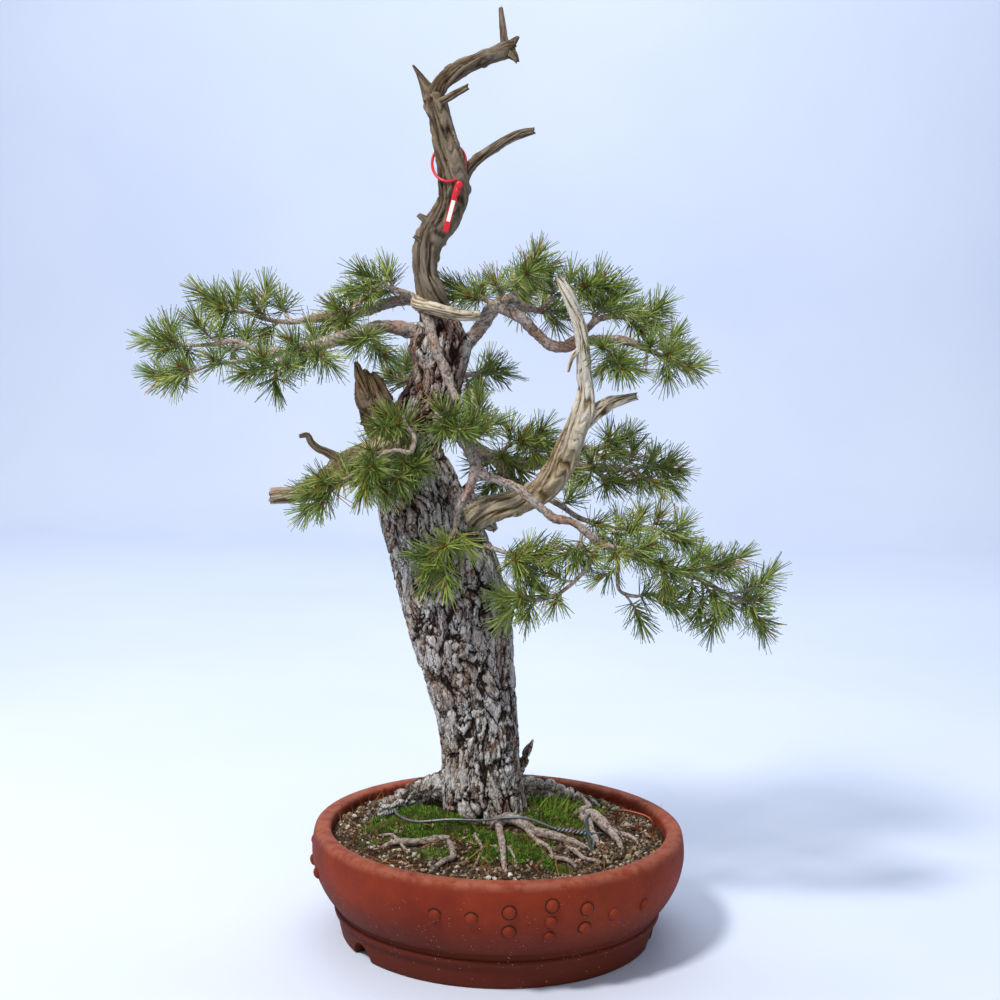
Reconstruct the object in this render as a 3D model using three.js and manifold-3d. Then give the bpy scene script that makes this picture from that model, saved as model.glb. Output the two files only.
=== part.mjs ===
// A scots pine bonsai in its round red-brown pot.
// Millimetres, +Z up. The tree is set out from the pot's own axis, with z = 0 under the pot's feet,
// and the whole group is moved at the end so that the origin lies under the middle of its box.
import * as THREE from 'three';
import { mergeVertices } from 'three/addons/utils/BufferGeometryUtils.js';
import Module from 'manifold-3d';

const wasm = await Module();
wasm.setup();

// Driving dimensions
const POT_RADIUS = 235.5;
const POT_HEIGHT = 137.5;
const RIM_WIDTH = 20;
const FOOT_RADIUS = 197;
const FOOT_INNER_RADIUS = 183;
const FOOT_RECESS = 14;
const FLOOR_TOP = 28;
const POT_SEGMENTS = 32;
const NOTCH_RADIUS = 17;
const NOTCH_BEARINGS = [-55, 75, 190];
const DRAIN_RADIUS = 13;
const DRAIN_RING = 95;
const DRAIN_COUNT = 3;
const STUD_RADIUS = 7.2;
const STUD_RISE = 4;
const STUD_SINK = 2.4;

const SOIL_EDGE = 120;
const MOUND_RISE = 38;
const MOUND_SPREAD = 85;
const MOUND_CENTRE = [-20, 35];

const GAP = 0.35;
const NEEDLE_LENGTH = 35;
const NEEDLE_RADIUS = 1.1;
const NEEDLE_RINGS = 2;
const RING_SPACING = 4.5;
const NEEDLE_CLEARANCE = 1.2;
const SHOOT_RADIUS = 2.2;
const SHOOT_ROOT_RADIUS = 1.3;

// Seeded random numbers, so that every build grows the same tree
function seeded(seed) {
  let state = seed >>> 0;
  return () => {
    state = (state + 0x6d2b79f5) >>> 0;
    let t = Math.imul(state ^ (state >>> 15), 1 | state);
    t = (t + Math.imul(t ^ (t >>> 7), 61 | t)) ^ t;
    return ((t ^ (t >>> 14)) >>> 0) / 4294967296;
  };
}

function vec(p) {
  return new THREE.Vector3(p[0], p[1], p[2]);
}

// A closed three.js geometry with its shared corners merged, as { spots, triangles }
function merge(geometry) {
  const bare = geometry.clone();
  bare.deleteAttribute('normal');
  bare.deleteAttribute('uv');
  const merged = mergeVertices(bare, 1e-4);
  const corners = merged.index.array;
  const triangles = [];
  for (let i = 0; i < corners.length; i += 3) {
    const [a, b, c] = corners.slice(i, i + 3);
    if (a !== b && b !== c && c !== a) {
      triangles.push([a, b, c]);
    }
  }
  const position = merged.attributes.position;
  const spots = Array.from({ length: position.count }, (_, i) => (
    new THREE.Vector3().fromBufferAttribute(position, i)));
  return { spots, triangles };
}

// A closed body that can be joined and cut
function body({ spots, triangles }) {
  return new wasm.Manifold(new wasm.Mesh({
    numProp: 3,
    vertProperties: new Float32Array(spots.flatMap((spot) => spot.toArray())),
    triVerts: new Uint32Array(triangles.flat()),
  }));
}

function solid(geometry) {
  return body(merge(geometry));
}

function join(solids) {
  return wasm.Manifold.union(solids);
}

function largest(whole) {
  const bodies = whole.decompose();
  return bodies.reduce((a, b) => (a.volume() >= b.volume() ? a : b));
}

const group = new THREE.Group();

function addPiece(name, shape, look) {
  const mesh = shape.getMesh();
  const geometry = new THREE.BufferGeometry();
  const positions = new Float32Array(mesh.vertProperties);
  geometry.setAttribute('position', new THREE.BufferAttribute(positions, 3));
  geometry.setIndex(new THREE.BufferAttribute(new Uint32Array(mesh.triVerts), 1));
  geometry.computeVertexNormals();
  const piece = new THREE.Mesh(geometry, new THREE.MeshStandardMaterial(look));
  piece.name = name;
  group.add(piece);
}

const LOOKS = {
  clay: { color: 0x9a4a30, roughness: 0.75, metalness: 0 },
  soil: { color: 0x5a4a3a, roughness: 0.95, metalness: 0 },
  bark: { color: 0x8a8078, roughness: 0.9, metalness: 0 },
  deadwood: { color: 0xb5a48c, roughness: 0.85, metalness: 0 },
  tornwood: { color: 0x8c6f58, roughness: 0.9, metalness: 0 },
  needles: { color: 0x5c7a48, roughness: 0.6, metalness: 0 },
  tag: { color: 0xd02028, roughness: 0.35, metalness: 0 },
  label: { color: 0xf2f2f0, roughness: 0.5, metalness: 0 },
  aluminium: { color: 0x8f9294, roughness: 0.4, metalness: 0.9 },
  greenWire: { color: 0x1f4a35, roughness: 0.5, metalness: 0 },
  copper: { color: 0x9c5a3c, roughness: 0.4, metalness: 0.9 },
  mesh: { color: 0x20251f, roughness: 0.6, metalness: 0 },
};

// Wood: a closed tube through hand-set points [x, y, z, radius], with relief as a share of the radius
function limb(points, { sides = 6, steps = 6, relief = null, grow = 0 } = {}) {
  const curve = new THREE.CatmullRomCurve3(points.map(vec), false, 'centripetal');
  curve.arcLengthDivisions = 200;
  const frames = curve.computeFrenetFrames(steps, false);
  const geometry = new THREE.CylinderGeometry(1, 1, 1, sides, steps, false);
  const position = geometry.attributes.position;
  const last = points.length - 1;
  for (let i = 0; i < position.count; i += 1) {
    const share = position.getY(i) + 0.5;
    const step = Math.round(share * steps);
    const t = curve.getUtoTmapping(step / steps);
    const span = Math.min(Math.floor(t * last), last - 1);
    const radius = THREE.MathUtils.lerp(points[span][3], points[span + 1][3], t * last - span);
    const x = position.getX(i);
    const z = position.getZ(i);
    const reach = Math.hypot(x, z);
    const angle = Math.atan2(z, x);
    const swell = relief && reach > 0.5 ? relief(angle, step, radius) : 0;
    const scale = radius * (1 + swell) + grow;
    const spot = curve.getPoint(t);
    const endways = grow * (step === 0 ? -1 : step === steps ? 1 : 0);
    spot.addScaledVector(frames.normals[step], scale * reach * Math.cos(angle));
    spot.addScaledVector(frames.binormals[step], -scale * reach * Math.sin(angle));
    spot.addScaledVector(frames.tangents[step], endways);
    position.setXYZ(i, spot.x, spot.y, spot.z);
  }
  return solid(geometry);
}

// Bark plates: staggered blocks that stand a little proud, on a slow swell of the trunk
function barkRelief(angle, step) {
  const plate = Math.sin(5 * angle + (step % 2) * Math.PI) * 0.028;
  const swell = Math.sin(2 * angle + step * 0.35) * 0.035;
  const ridge = Math.sin(9 * angle - step * 0.6) * 0.02;
  return plate + swell + ridge;
}

// Weathered grain: long grooves that wind slowly round bare wood
function grainRelief(angle, step) {
  return 0.09 * Math.sin(3 * angle + step * 0.25) + 0.05 * Math.sin(5 * angle - step * 0.3);
}

// Torn wood: deep splinter grooves
function tornRelief(angle, step) {
  return 0.16 * Math.sin(4 * angle + step * 0.5) + 0.06 * Math.sin(7 * angle);
}

// The living wood, bark covered: [points], sides, steps
const TRUNK_POINTS = [
  [-14, 26, 70, 50], [-17, 24, 118, 56], [-18, 22, 153, 54], [-23, 22, 186, 52], [-26, 20, 239, 51],
  [-34, 18, 291, 54], [-47, 15, 356, 60], [-55, 12, 395, 65], [-61, 10, 421, 66], [-71, 8, 453, 66],
  [-82, 8, 484, 63], [-94, 8, 512, 60], [-108, 10, 547, 55], [-116, 12, 572, 50], [-122, 14, 596, 45],
  [-121, 16, 621, 40], [-110, 18, 646, 37], [-95, 20, 672, 34], [-86, 20, 697, 32], [-83, 20, 722, 34],
  [-84, 18, 741, 38], [-88, 15, 762, 30], [-91, 14, 774, 25],
];

const LIVE_BRANCHES = {
  leftMain: [[-99, 18, 757, 12], [-118, 18, 758, 11], [-154, 10, 762, 9.5], [-190, 0, 751, 9],
    [-232, -10, 738, 8], [-268, -20, 729, 7], [-300, -21, 728, 5.5]],
  leftSecond: [[-284, -20, 728, 5], [-297, -26, 722, 4.2], [-312, -33, 718, 3.4]],
  leftUpper: [[-96, 20, 770, 9], [-120, 42, 795, 8], [-151, 50, 792, 7.5], [-199, 50, 776, 6.5],
    [-250, 44, 770, 5.5]],
  leftTop: [[-112, 36, 788, 6], [-124, 38, 800, 5], [-144, 30, 808, 4]],
  rightUpper: [[-76, 22, 728, 14], [-54, 33, 742, 10], [-30, 30, 775, 9], [-18, 25, 790, 8.5],
    [0, 15, 784, 7.5], [15, 8, 775, 7], [32, 16, 759, 7], [55, 22, 742, 7], [82, 20, 744, 6.5],
    [104, 10, 751, 6], [143, 5, 751, 5.5], [170, 9, 742, 4.5]],
  rightBack: [[-20, 25, 789, 7], [0, 40, 799, 6], [20, 54, 790, 5.5], [42, 61, 785, 4.5]],
  rightRise: [[72, 22, 743, 5], [92, 20, 760, 4.8], [110, 24, 776, 4.4], [132, 31, 782, 4]],
  frontRight: [[-84, 5, 664, 12], [-82, -12, 650, 9.5], [-64, -26, 635, 9], [-48, -33, 618, 8.5],
    [-40, -36, 602, 8], [-34, -42, 589, 7.5], [-22, -46, 583, 7], [-1, -52, 577, 6.5], [17, -57, 569, 6.5],
    [29, -60, 559, 6.5], [44, -62, 547, 6.5], [60, -62, 536, 6.5], [78, -63, 533, 6.5], [94, -65, 524, 6.5],
    [112, -65, 509, 6], [140, -60, 497, 6], [178, -50, 484, 5.5], [225, -41, 468, 4.8]],
  frontStem: [[-36, -40, 594, 6], [-44, -46, 571, 6], [-55, -50, 549, 5], [-59, -53, 540, 4.2]],
  backRight: [[-98, 24, 642, 13], [-72, 44, 633, 10], [-28, 48, 604, 9], [11, 50, 593, 8], [43, 55, 594, 7.5],
    [92, 62, 590, 6.5], [118, 66, 587, 6], [146, 72, 586, 4.8]],
  backRise: [[66, 58, 592, 5.5], [84, 68, 606, 5], [100, 75, 616, 4]],
  backLow: [[-14, 48, 597, 6.5], [5, 36, 575, 6], [30, 28, 561, 5.5], [54, 20, 551, 5]],
  leftFront: [[-122, -22, 608, 8], [-117, -38, 618, 5.5], [-114, -42, 628, 4]],
  leftLow: [[-120, -20, 600, 9], [-126, -38, 602, 6.5], [-137, -50, 603, 5]],
  backUp: [[-78, 38, 702, 7], [-67, 58, 701, 6], [-52, 78, 702, 4.5]],
  backLeft: [[-92, 38, 712, 6], [-104, 50, 710, 5], [-122, 62, 702, 4]],
  backTall: [[-80, 30, 690, 8], [-86, 70, 686, 7], [-96, 110, 694, 5.5], [-104, 140, 702, 4.5]],
  backDeep: [[20, 52, 593, 6], [36, 84, 586, 5.5], [52, 116, 588, 4.5]],
  backCrown: [[-14, 34, 793, 5.5], [-6, 66, 800, 5], [4, 96, 806, 4]],
};

const ROOTS = {
  leftFlare: [[-44, 14, 176, 20], [-66, 24, 174, 17], [-90, 34, 166, 14], [-112, 40, 156, 12],
    [-134, 40, 143, 10], [-158, 36, 128, 7], [-178, 32, 114, 4]],
  rightFlare: [[8, 44, 160, 20], [34, 66, 160, 15], [60, 80, 156, 13], [86, 92, 148, 11],
    [112, 108, 136, 8], [134, 122, 124, 5]],
  frontRight: [[-10, -14, 150, 14], [0, -38, 149, 8], [27, -46, 144, 7.5], [61, -60, 135, 6.5],
    [94, -70, 128, 5], [118, -78, 118, 3.5]],
  frontLeft: [[-40, -22, 146, 12], [-56, -66, 138, 6.5], [-96, -74, 131, 6], [-130, -82, 122, 4]],
  frontLong: [[0, -36, 149, 6], [2, -85, 135, 5], [8, -138, 121, 3.5]],
  deadSpike: [[2, 28, 172, 13], [18, 25, 193, 8], [28, 22, 208, 6], [34, 18, 225, 5], [41, 14, 242, 1.5]],
};

// The bare, bleached wood
const DEADWOOD = {
  deadwood_top: [
    { sides: 8, steps: 14, relief: grainRelief, points: [[-90, 14, 758, 18], [-92, 13, 774, 21],
      [-96, 12, 790, 18.5],
      [-100, 10, 808, 17], [-105, 8, 826, 15.5], [-106, 6, 844, 16], [-102, 4, 863, 17.5],
      [-94, 2, 881, 20], [-82, 0, 897, 19.5], [-74, -2, 917, 18], [-73, -3, 935, 18.5],
      [-75, -4, 953, 18.5], [-81, -5, 977, 17], [-87, -6, 1000, 15.5], [-93, -8, 1024, 15],
      [-97, -9, 1039, 13.5], [-99, -10, 1052, 8]] },
    { sides: 6, steps: 2, points: [[-103, -10, 1040, 9], [-113, -10, 1059, 5], [-122, -12, 1074, 1.2]] },
    { sides: 6, steps: 7, relief: grainRelief, points: [[-98, -10, 1036, 10], [-88, -12, 1054, 11],
      [-71, -14, 1069, 10.5], [-54, -15, 1078, 10], [-39, -14, 1085, 9.5], [-23, -12, 1091, 9.5],
      [-9, -10, 1097, 10.5], [-1, -9, 1099, 9]] },
    { sides: 5, steps: 3, points: [[-10, -10, 1092, 6], [-14, -10, 1110, 5], [-16, -9, 1125, 4.2],
      [-19, -8, 1147, 3]] },
    { sides: 5, steps: 3, points: [[-93, -14, 1031, 5], [-80, -24, 1036, 4.5], [-68, -30, 1042, 4.5],
      [-56, -34, 1048, 4]] },
    { sides: 5, steps: 5, relief: grainRelief, points: [[-70, -2, 922, 11], [-62, -1, 942, 9],
      [-54, 1, 956, 7.5], [-41, 4, 969, 6.8], [-24, 8, 981, 6.2], [-7, 10, 992, 5.6], [10, 12, 1000, 5.5],
      [24, 14, 1004, 4]] },
    { sides: 5, steps: 1, points: [[-96, -2, 886, 8], [-114, -8, 898, 3]] },
    { sides: 5, steps: 1, points: [[-104, 0, 862, 7], [-119, -4, 872, 2.5]] },
  ],
  deadwood_arm: [
    { sides: 8, steps: 20, relief: grainRelief, points: [[-72, 4, 520, 21], [-52, -2, 524, 20],
      [-32, -10, 535, 18], [-7, -14, 544, 17], [19, -18, 552, 16], [42, -20, 564, 17], [60, -20, 586, 17.5],
      [72, -18, 613, 16], [83, -16, 640, 15], [92, -14, 663, 15], [95, -12, 683, 12], [93, -12, 708, 9.7],
      [91, -14, 732, 9], [88, -16, 757, 8.5], [81, -18, 781, 8], [72, -20, 801, 7.5], [64, -20, 816, 6],
      [58, -20, 826, 3]] },
    { sides: 6, steps: 4, points: [[92, -14, 650, 11], [112, -6, 664, 9.5], [126, 0, 673, 8],
      [141, 4, 678, 6.5], [159, 8, 683, 5]] },
    { sides: 5, steps: 2, points: [[86, -16, 740, 4], [77, -21, 729, 3.4], [73, -23, 712, 2]] },
  ],
  deadwood_left_limb: [
    { sides: 10, steps: 8, relief: grainRelief, points: [[-112, 8, 594, 30], [-136, 5, 598, 29],
      [-167, -2, 596, 27], [-196, -10, 587, 21], [-222, -18, 571, 15], [-246, -22, 558, 11.5],
      [-266, -24, 553, 10], [-290, -26, 551, 9.3]] },
    { sides: 5, steps: 5, points: [[-204, -12, 596, 7], [-223, -18, 607, 5], [-233, -20, 611, 5],
      [-241, -22, 619, 4.5], [-245, -24, 627, 4], [-254, -26, 626, 2.5]] },
  ],
  deadwood_split_stub: [
    { sides: 10, steps: 5, relief: tornRelief, points: [[-118, 12, 604, 27], [-136, 10, 621, 27],
      [-150, 8, 640, 26], [-162, 8, 662, 25], [-173, 8, 684, 21], [-183, 8, 702, 12]] },
    { sides: 5, steps: 2, points: [[-176, 0, 680, 11], [-183, -4, 704, 7], [-188, -6, 722, 2]] },
    { sides: 5, steps: 2, points: [[-164, 2, 672, 11], [-168, -2, 696, 7], [-171, -2, 716, 2]] },
    { sides: 5, steps: 2, points: [[-150, 6, 656, 12], [-153, 8, 684, 7], [-156, 12, 704, 2]] },
  ],
  deadwood_strap: [
    { sides: 6, steps: 7, relief: grainRelief, points: [[-116, 4, 794, 7], [-112, -12, 790, 8],
      [-96, -24, 786, 8], [-76, -29, 781, 7.5], [-57, -27, 777, 7], [-38, -18, 778, 6]] },
  ],
};

// Sprays: a stem that leaves a live branch, and the tips of its side shoots, where the needles stand
const SPRAYS = {
  left_end: {
    r: [4.2, 1.8],
    stem: [[-294, -20, 728], [-312, -20, 730], [-332, -15, 740], [-367, -10, 735], [-406, 0, 735],
      [-424, 4, 744]],
    tips: [[-445, 8, 739], [-422, 25, 755], [-422, -20, 728], [-380, -25, 764], [-403, 22, 715],
      [-361, 25, 753], [-330, 35, 750]],
  },
  left_low_end: {
    r: [3.2, 1.6],
    stem: [[-305, -30, 719], [-329, -37, 716], [-358, -42, 711], [-385, -44, 702], [-413, -40, 695]],
    tips: [[-430, -38, 699], [-393, -65, 710], [-407, -20, 689], [-353, -72, 720]],
  },
  left_lower: {
    r: [3.0, 1.8],
    stem: [[-270, -22, 728], [-280, -50, 714], [-296, -60, 709], [-307, -65, 706]],
    tips: [[-315, -68, 704], [-292, -84, 724], [-279, -60, 687], [-261, -88, 713]],
  },
  left_upper_end: {
    r: [4.2, 1.6],
    stem: [[-241, 45, 771], [-278, 40, 765], [-311, 40, 769], [-342, 45, 781], [-372, 50, 790]],
    tips: [[-389, 53, 799], [-378, 82, 787], [-345, 60, 801], [-309, 58, 806], [-317, 20, 787]],
  },
  left_inner_low: {
    r: [2.8, 1.8],
    stem: [[-230, -10, 736], [-240, -25, 728], [-249, -32, 722]],
    tips: [[-256, -34, 718], [-227, -55, 726], [-221, -12, 716]],
  },
  left_inner_up: {
    r: [2.8, 1.8],
    stem: [[-197, 50, 775], [-210, 58, 779], [-219, 63, 779]],
    tips: [[-225, 67, 779], [-231, 45, 756], [-210, 88, 761]],
  },
  left_neck: {
    r: [2.8, 1.8],
    stem: [[-167, 6, 759], [-176, -2, 749], [-184, -10, 742]],
    tips: [[-192, -14, 741], [-171, -38, 750], [-162, 2, 735]],
  },
  left_top: {
    r: [3.0, 1.6],
    stem: [[-138, 33, 806], [-150, 28, 810], [-162, 20, 818], [-175, 16, 824]],
    tips: [[-184, 14, 827], [-154, 42, 830], [-199, 32, 806], [-177, -8, 797]],
  },
  crown_inner: {
    r: [3.0, 1.8],
    stem: [[-20, 25, 790], [-38, 28, 802], [-58, 32, 807]],
    tips: [[-70, 22, 798], [-49, 4, 800], [-36, 52, 811]],
  },
  crown_top: {
    r: [3.2, 1.6],
    stem: [[-18, 25, 791], [-5, 12, 814], [13, 4, 827], [25, -3, 839]],
    tips: [[-19, -10, 818], [20, -34, 830], [46, 12, 838]],
  },
  crown_back: {
    r: [3.0, 1.8],
    stem: [[16, 55, 791], [45, 63, 785], [66, 68, 786]],
    tips: [[45, 88, 804], [59, 72, 772], [80, 92, 797]],
  },
  crown_right: {
    r: [3.2, 1.6],
    stem: [[38, 60, 786], [58, 48, 805], [85, 38, 815], [109, 32, 820]],
    tips: [[76, 52, 830], [111, 50, 831]],
  },
  right_mid_up: {
    r: [3.0, 1.8],
    stem: [[98, 18, 767], [110, 25, 784], [122, 30, 796]],
    tips: [[99, 18, 803], [140, 38, 806], [141, 6, 787]],
  },
  right_far_up: {
    r: [3.0, 1.6],
    stem: [[125, 30, 781], [161, 35, 779], [178, 35, 787]],
    tips: [[188, 36, 795], [162, 68, 787], [186, 60, 770]],
  },
  right_end: {
    r: [3.8, 1.6],
    stem: [[162, 8, 745], [181, 10, 736], [200, 8, 728], [220, 8, 721]],
    tips: [[232, 10, 722], [205, 20, 758], [173, -18, 749], [215, 48, 743]],
  },
  right_mid_low: {
    r: [3.0, 1.6],
    stem: [[114, 8, 752], [122, -6, 739], [132, -6, 727], [142, -3, 720]],
    tips: [[113, -32, 744], [138, 26, 732], [117, -10, 718], [156, 2, 716]],
  },
  back_upper: {
    r: [3.4, 1.8],
    stem: [[-59, 70, 701], [-37, 92, 705], [-19, 100, 707]],
    tips: [[-25, 128, 717], [-7, 96, 705], [-41, 118, 693], [-50, 84, 675]],
  },
  back_left: {
    r: [3.0, 1.8],
    stem: [[-115, 58, 706], [-134, 72, 692], [-146, 78, 695]],
    tips: [[-152, 80, 701], [-134, 110, 714]],
  },
  left_front: {
    r: [2.8, 1.6],
    stem: [[-113, -41, 626], [-128, -48, 643], [-138, -54, 651]],
    tips: [[-144, -58, 656]],
  },
  low_left: {
    r: [3.6, 1.6],
    stem: [[-130, -44, 601], [-147, -58, 609], [-164, -66, 607], [-176, -70, 592], [-188, -66, 582],
      [-205, -62, 574], [-222, -60, 568]],
    tips: [[-164, -76, 616], [-194, -52, 588], [-171, -80, 566], [-242, -60, 559],
      [-222, -80, 579]],
  },
  front_knuckle: {
    r: [2.6, 1.6],
    stem: [[-116, -38, 611], [-115, -56, 595], [-123, -64, 576]],
    tips: [[-110, -80, 597], [-130, -68, 566]],
  },
  front_mid_left: {
    r: [2.6, 1.6],
    stem: [[-78, -16, 648], [-74, -34, 648], [-70, -44, 646]],
    tips: [[-65, -48, 655], [-79, -58, 640]],
  },
  front_mid_right: {
    r: [2.8, 1.6],
    stem: [[-48, -32, 620], [-41, -32, 635], [-31, -26, 643]],
    tips: [[-46, -24, 658], [-35, -54, 638], [-18, -22, 646]],
  },
  middle_back: {
    r: [3.0, 1.6],
    stem: [[-14, 48, 598], [1, 44, 614], [21, 42, 625], [39, 42, 627]],
    tips: [[2, 38, 635], [44, 36, 637]],
  },
  trunk_front: {
    r: [3.2, 1.6],
    stem: [[-55, -50, 549], [-60, -54, 533], [-62, -58, 516], [-70, -64, 502], [-80, -70, 485]],
    tips: [[-88, -74, 476], [-70, -88, 503], [-47, -58, 500]],
  },
  back_right_up: {
    r: [3.2, 1.6],
    stem: [[95, 74, 614], [123, 80, 611], [144, 85, 621]],
    tips: [[131, 70, 628], [158, 95, 628], [122, 56, 602], [149, 112, 601]],
  },
  back_right_end: {
    r: [3.8, 1.6],
    stem: [[138, 70, 586], [159, 75, 585], [186, 84, 590], [204, 88, 588]],
    tips: [[162, 66, 611], [192, 112, 600], [223, 82, 584]],
  },
  back_mid: {
    r: [3.0, 1.8],
    stem: [[107, 62, 588], [123, 62, 577], [134, 60, 572]],
    tips: [[150, 76, 571], [127, 46, 567], [100, 72, 568]],
  },
  back_inner: {
    r: [3.0, 1.8],
    stem: [[-19, 48, 600], [-9, 56, 583], [-14, 60, 567]],
    tips: [[-38, 74, 588], [-4, 40, 569], [-27, 66, 553]],
  },
  right_low: {
    r: [4.0, 1.6],
    stem: [[49, 22, 553], [71, 12, 542], [93, 5, 529], [119, 5, 522], [141, 5, 517], [169, 6, 519],
      [197, 8, 515], [217, 10, 507]],
    tips: [[82, 32, 554], [125, 12, 500], [146, 26, 524], [159, -24, 520], [193, 4, 533], [223, 22, 522]],
  },
  low_right_inner: {
    r: [3.0, 1.8],
    stem: [[94, -64, 525], [91, -67, 508], [89, -67, 496]],
    tips: [[69, -72, 492], [87, -48, 480], [105, -84, 493]],
  },
  low_right_mid: {
    r: [3, 1.8],
    stem: [[124, -64, 504], [136, -76, 504], [150, -82, 502], [162, -82, 500]],
    tips: [[132, -96, 496], [172, -84, 508]],
  },
  low_right_hook: {
    r: [3.2, 1.6],
    stem: [[130, -61, 496], [138, -58, 484], [138, -54, 466], [142, -50, 447], [161, -46, 440],
      [179, -43, 443], [195, -40, 439]],
    tips: [[220, -36, 424], [169, -45, 409], [118, -62, 465]],
  },
  low_right_far: {
    r: [3, 1.8],
    stem: [[174, -50, 485], [190, -62, 480], [204, -68, 474]],
    tips: [[190, -82, 486], [197, -66, 456]],
  },
  low_right_top: {
    r: [3.2, 1.8],
    stem: [[215, -43, 471], [238, -40, 476], [263, -35, 481]],
    tips: [[237, -60, 491], [260, -10, 474], [274, -54, 471], [289, -30, 489]],
  },
  low_right_end: {
    r: [4.0, 1.6],
    stem: [[218, -42, 469], [241, -39, 461], [266, -35, 448], [298, -30, 429], [315, -26, 413]],
    tips: [[228, -56, 447], [280, -8, 418], [258, -36, 403], [258, -64, 439],
      [328, -26, 467], [308, 0, 446], [312, -52, 440], [323, -24, 399]],
  },
  front_low: {
    r: [3.2, 1.6],
    stem: [[-26, -22, 496], [-6, -42, 492], [16, -52, 487], [31, -54, 487]],
    tips: [[15, -78, 485], [32, -36, 495]],
  },
  front_low_right: {
    r: [3.6, 1.6],
    stem: [[112, -65, 505], [106, -69, 487], [95, -69, 471], [78, -66, 453], [60, -64, 440],
      [32, -62, 435], [8, -58, 436]],
    tips: [[-4, -56, 437], [20, -86, 444], [29, -72, 417],
      [62, -84, 437]],
  },
};

// Sprays on the far side, which the photo does not show
const BACK_SPRAYS = {
  back_high: {
    r: [3.8, 1.8],
    stem: [[-101, 130, 700], [-108, 152, 705], [-116, 176, 702]],
    tips: [[-120, 196, 708], [-94, 172, 722], [-136, 168, 716], [-128, 146, 690]],
  },
  back_deep: {
    r: [3.8, 1.8],
    stem: [[48, 108, 588], [60, 132, 588], [74, 156, 584]],
    tips: [[80, 176, 588], [94, 148, 598], [90, 128, 574]],
  },
  back_crown: {
    r: [3.2, 1.8],
    stem: [[2, 90, 805], [8, 112, 808], [18, 134, 804]],
    tips: [[24, 152, 808], [0, 136, 820], [34, 124, 818]],
  },
};

// Everything that needles and shoots must stay clear of, as capsules { a, b, r, owner }
const capsules = [];

function addCapsules(points, owner, steps = 12) {
  const curve = new THREE.CatmullRomCurve3(points.map(vec), false, 'centripetal');
  const last = points.length - 1;
  for (let i = 0; i < steps; i += 1) {
    const t = (i + 0.5) / steps;
    const span = Math.min(Math.floor(t * last), last - 1);
    const r = THREE.MathUtils.lerp(points[span][3], points[span + 1][3], t * last - span);
    capsules.push({ a: curve.getPoint(i / steps), b: curve.getPoint((i + 1) / steps), r: r * 1.1, owner });
  }
}

// Shortest distance between the stretches ab and cd
function stretchDistance(a, b, c, d) {
  const u = b.clone().sub(a);
  const v = d.clone().sub(c);
  const w = a.clone().sub(c);
  const uu = u.dot(u);
  const uv = u.dot(v);
  const vv = v.dot(v);
  const uw = u.dot(w);
  const vw = v.dot(w);
  const spread = uu * vv - uv * uv;
  let s = spread > 1e-9 ? THREE.MathUtils.clamp((uv * vw - vv * uw) / spread, 0, 1) : 0;
  let t = (uv * s + vw) / vv;
  if (t < 0 || t > 1) {
    t = THREE.MathUtils.clamp(t, 0, 1);
    s = THREE.MathUtils.clamp((uv * t - uw) / uu, 0, 1);
  }
  const along = u.multiplyScalar(s).add(a);
  const across = v.multiplyScalar(t).add(c);
  return along.distanceTo(across);
}

function isClear(a, b, r, owner, family = null) {
  return capsules.every((c) => c.owner === owner || c.owner === family
    || stretchDistance(a, b, c.a, c.b) > r + c.r + NEEDLE_CLEARANCE);
}

// The side shoot to one tip: it leaves the stem at the nearest point, drawn back toward the stem's root
function growShoot(name, stemCurve, tip, random) {
  const samples = 24;
  let best = 0;
  let bestDistance = Infinity;
  for (let i = 0; i <= samples; i += 1) {
    const distance = stemCurve.getPoint(i / samples).distanceTo(tip);
    if (distance < bestDistance) {
      best = i / samples;
      bestDistance = distance;
    }
  }
  const back = Math.min(0.35, (0.5 * bestDistance) / stemCurve.getLength());
  const root = stemCurve.getPoint(THREE.MathUtils.clamp(best - back, 0.12, 0.96));
  for (let attempt = 0; attempt < 14; attempt += 1) {
    const shift = new THREE.Vector3(random() - 0.5, random() - 0.5, random() - 0.5);
    const end = tip.clone().addScaledVector(shift, attempt * 2.2);
    if (isClear(root, end, SHOOT_RADIUS, name, 'wood')
      && capsules.every((c) => c.owner !== 'wood' || stretchDistance(
        root.clone().lerp(end, 0.4), end, c.a, c.b) > c.r + SHOOT_RADIUS + NEEDLE_CLEARANCE)) {
      return { root, end };
    }
  }
  return null;
}

// A needle keeps off the other shoots of its own spray, and its free part off its own shoot's needles
function ownClear(name, shoot, a, b) {
  const free = a.clone().lerp(b, 0.3);
  return capsules.every((c) => c.owner !== name
    || stretchDistance(c.shoot === shoot ? free : a, b, c.a, c.b) > NEEDLE_RADIUS + c.r * 0.6);
}

// A three-sided shoot whose outer end is ringed closely, so that facets there can be drawn out to needles
function shootMesh({ root, end }, spin) {
  const length = root.distanceTo(end);
  const rings = [0, ...Array.from({ length: NEEDLE_RINGS + 1 }, (_, i) => (
    length - (NEEDLE_RINGS - i) * RING_SPACING))];
  const geometry = new THREE.CylinderGeometry(1, 1, 1, 3, rings.length - 1, false, spin);
  const position = geometry.attributes.position;
  const lean = new THREE.Quaternion().setFromUnitVectors(
    new THREE.Vector3(0, 1, 0), end.clone().sub(root).normalize());
  for (let i = 0; i < position.count; i += 1) {
    const ring = Math.round((position.getY(i) + 0.5) * (rings.length - 1));
    const width = ring === 0 ? SHOOT_ROOT_RADIUS : SHOOT_RADIUS;
    const spot = new THREE.Vector3(position.getX(i) * width, rings[ring], position.getZ(i) * width);
    spot.applyQuaternion(lean).add(root);
    position.setXYZ(i, spot.x, spot.y, spot.z);
  }
  return merge(geometry);
}

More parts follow.
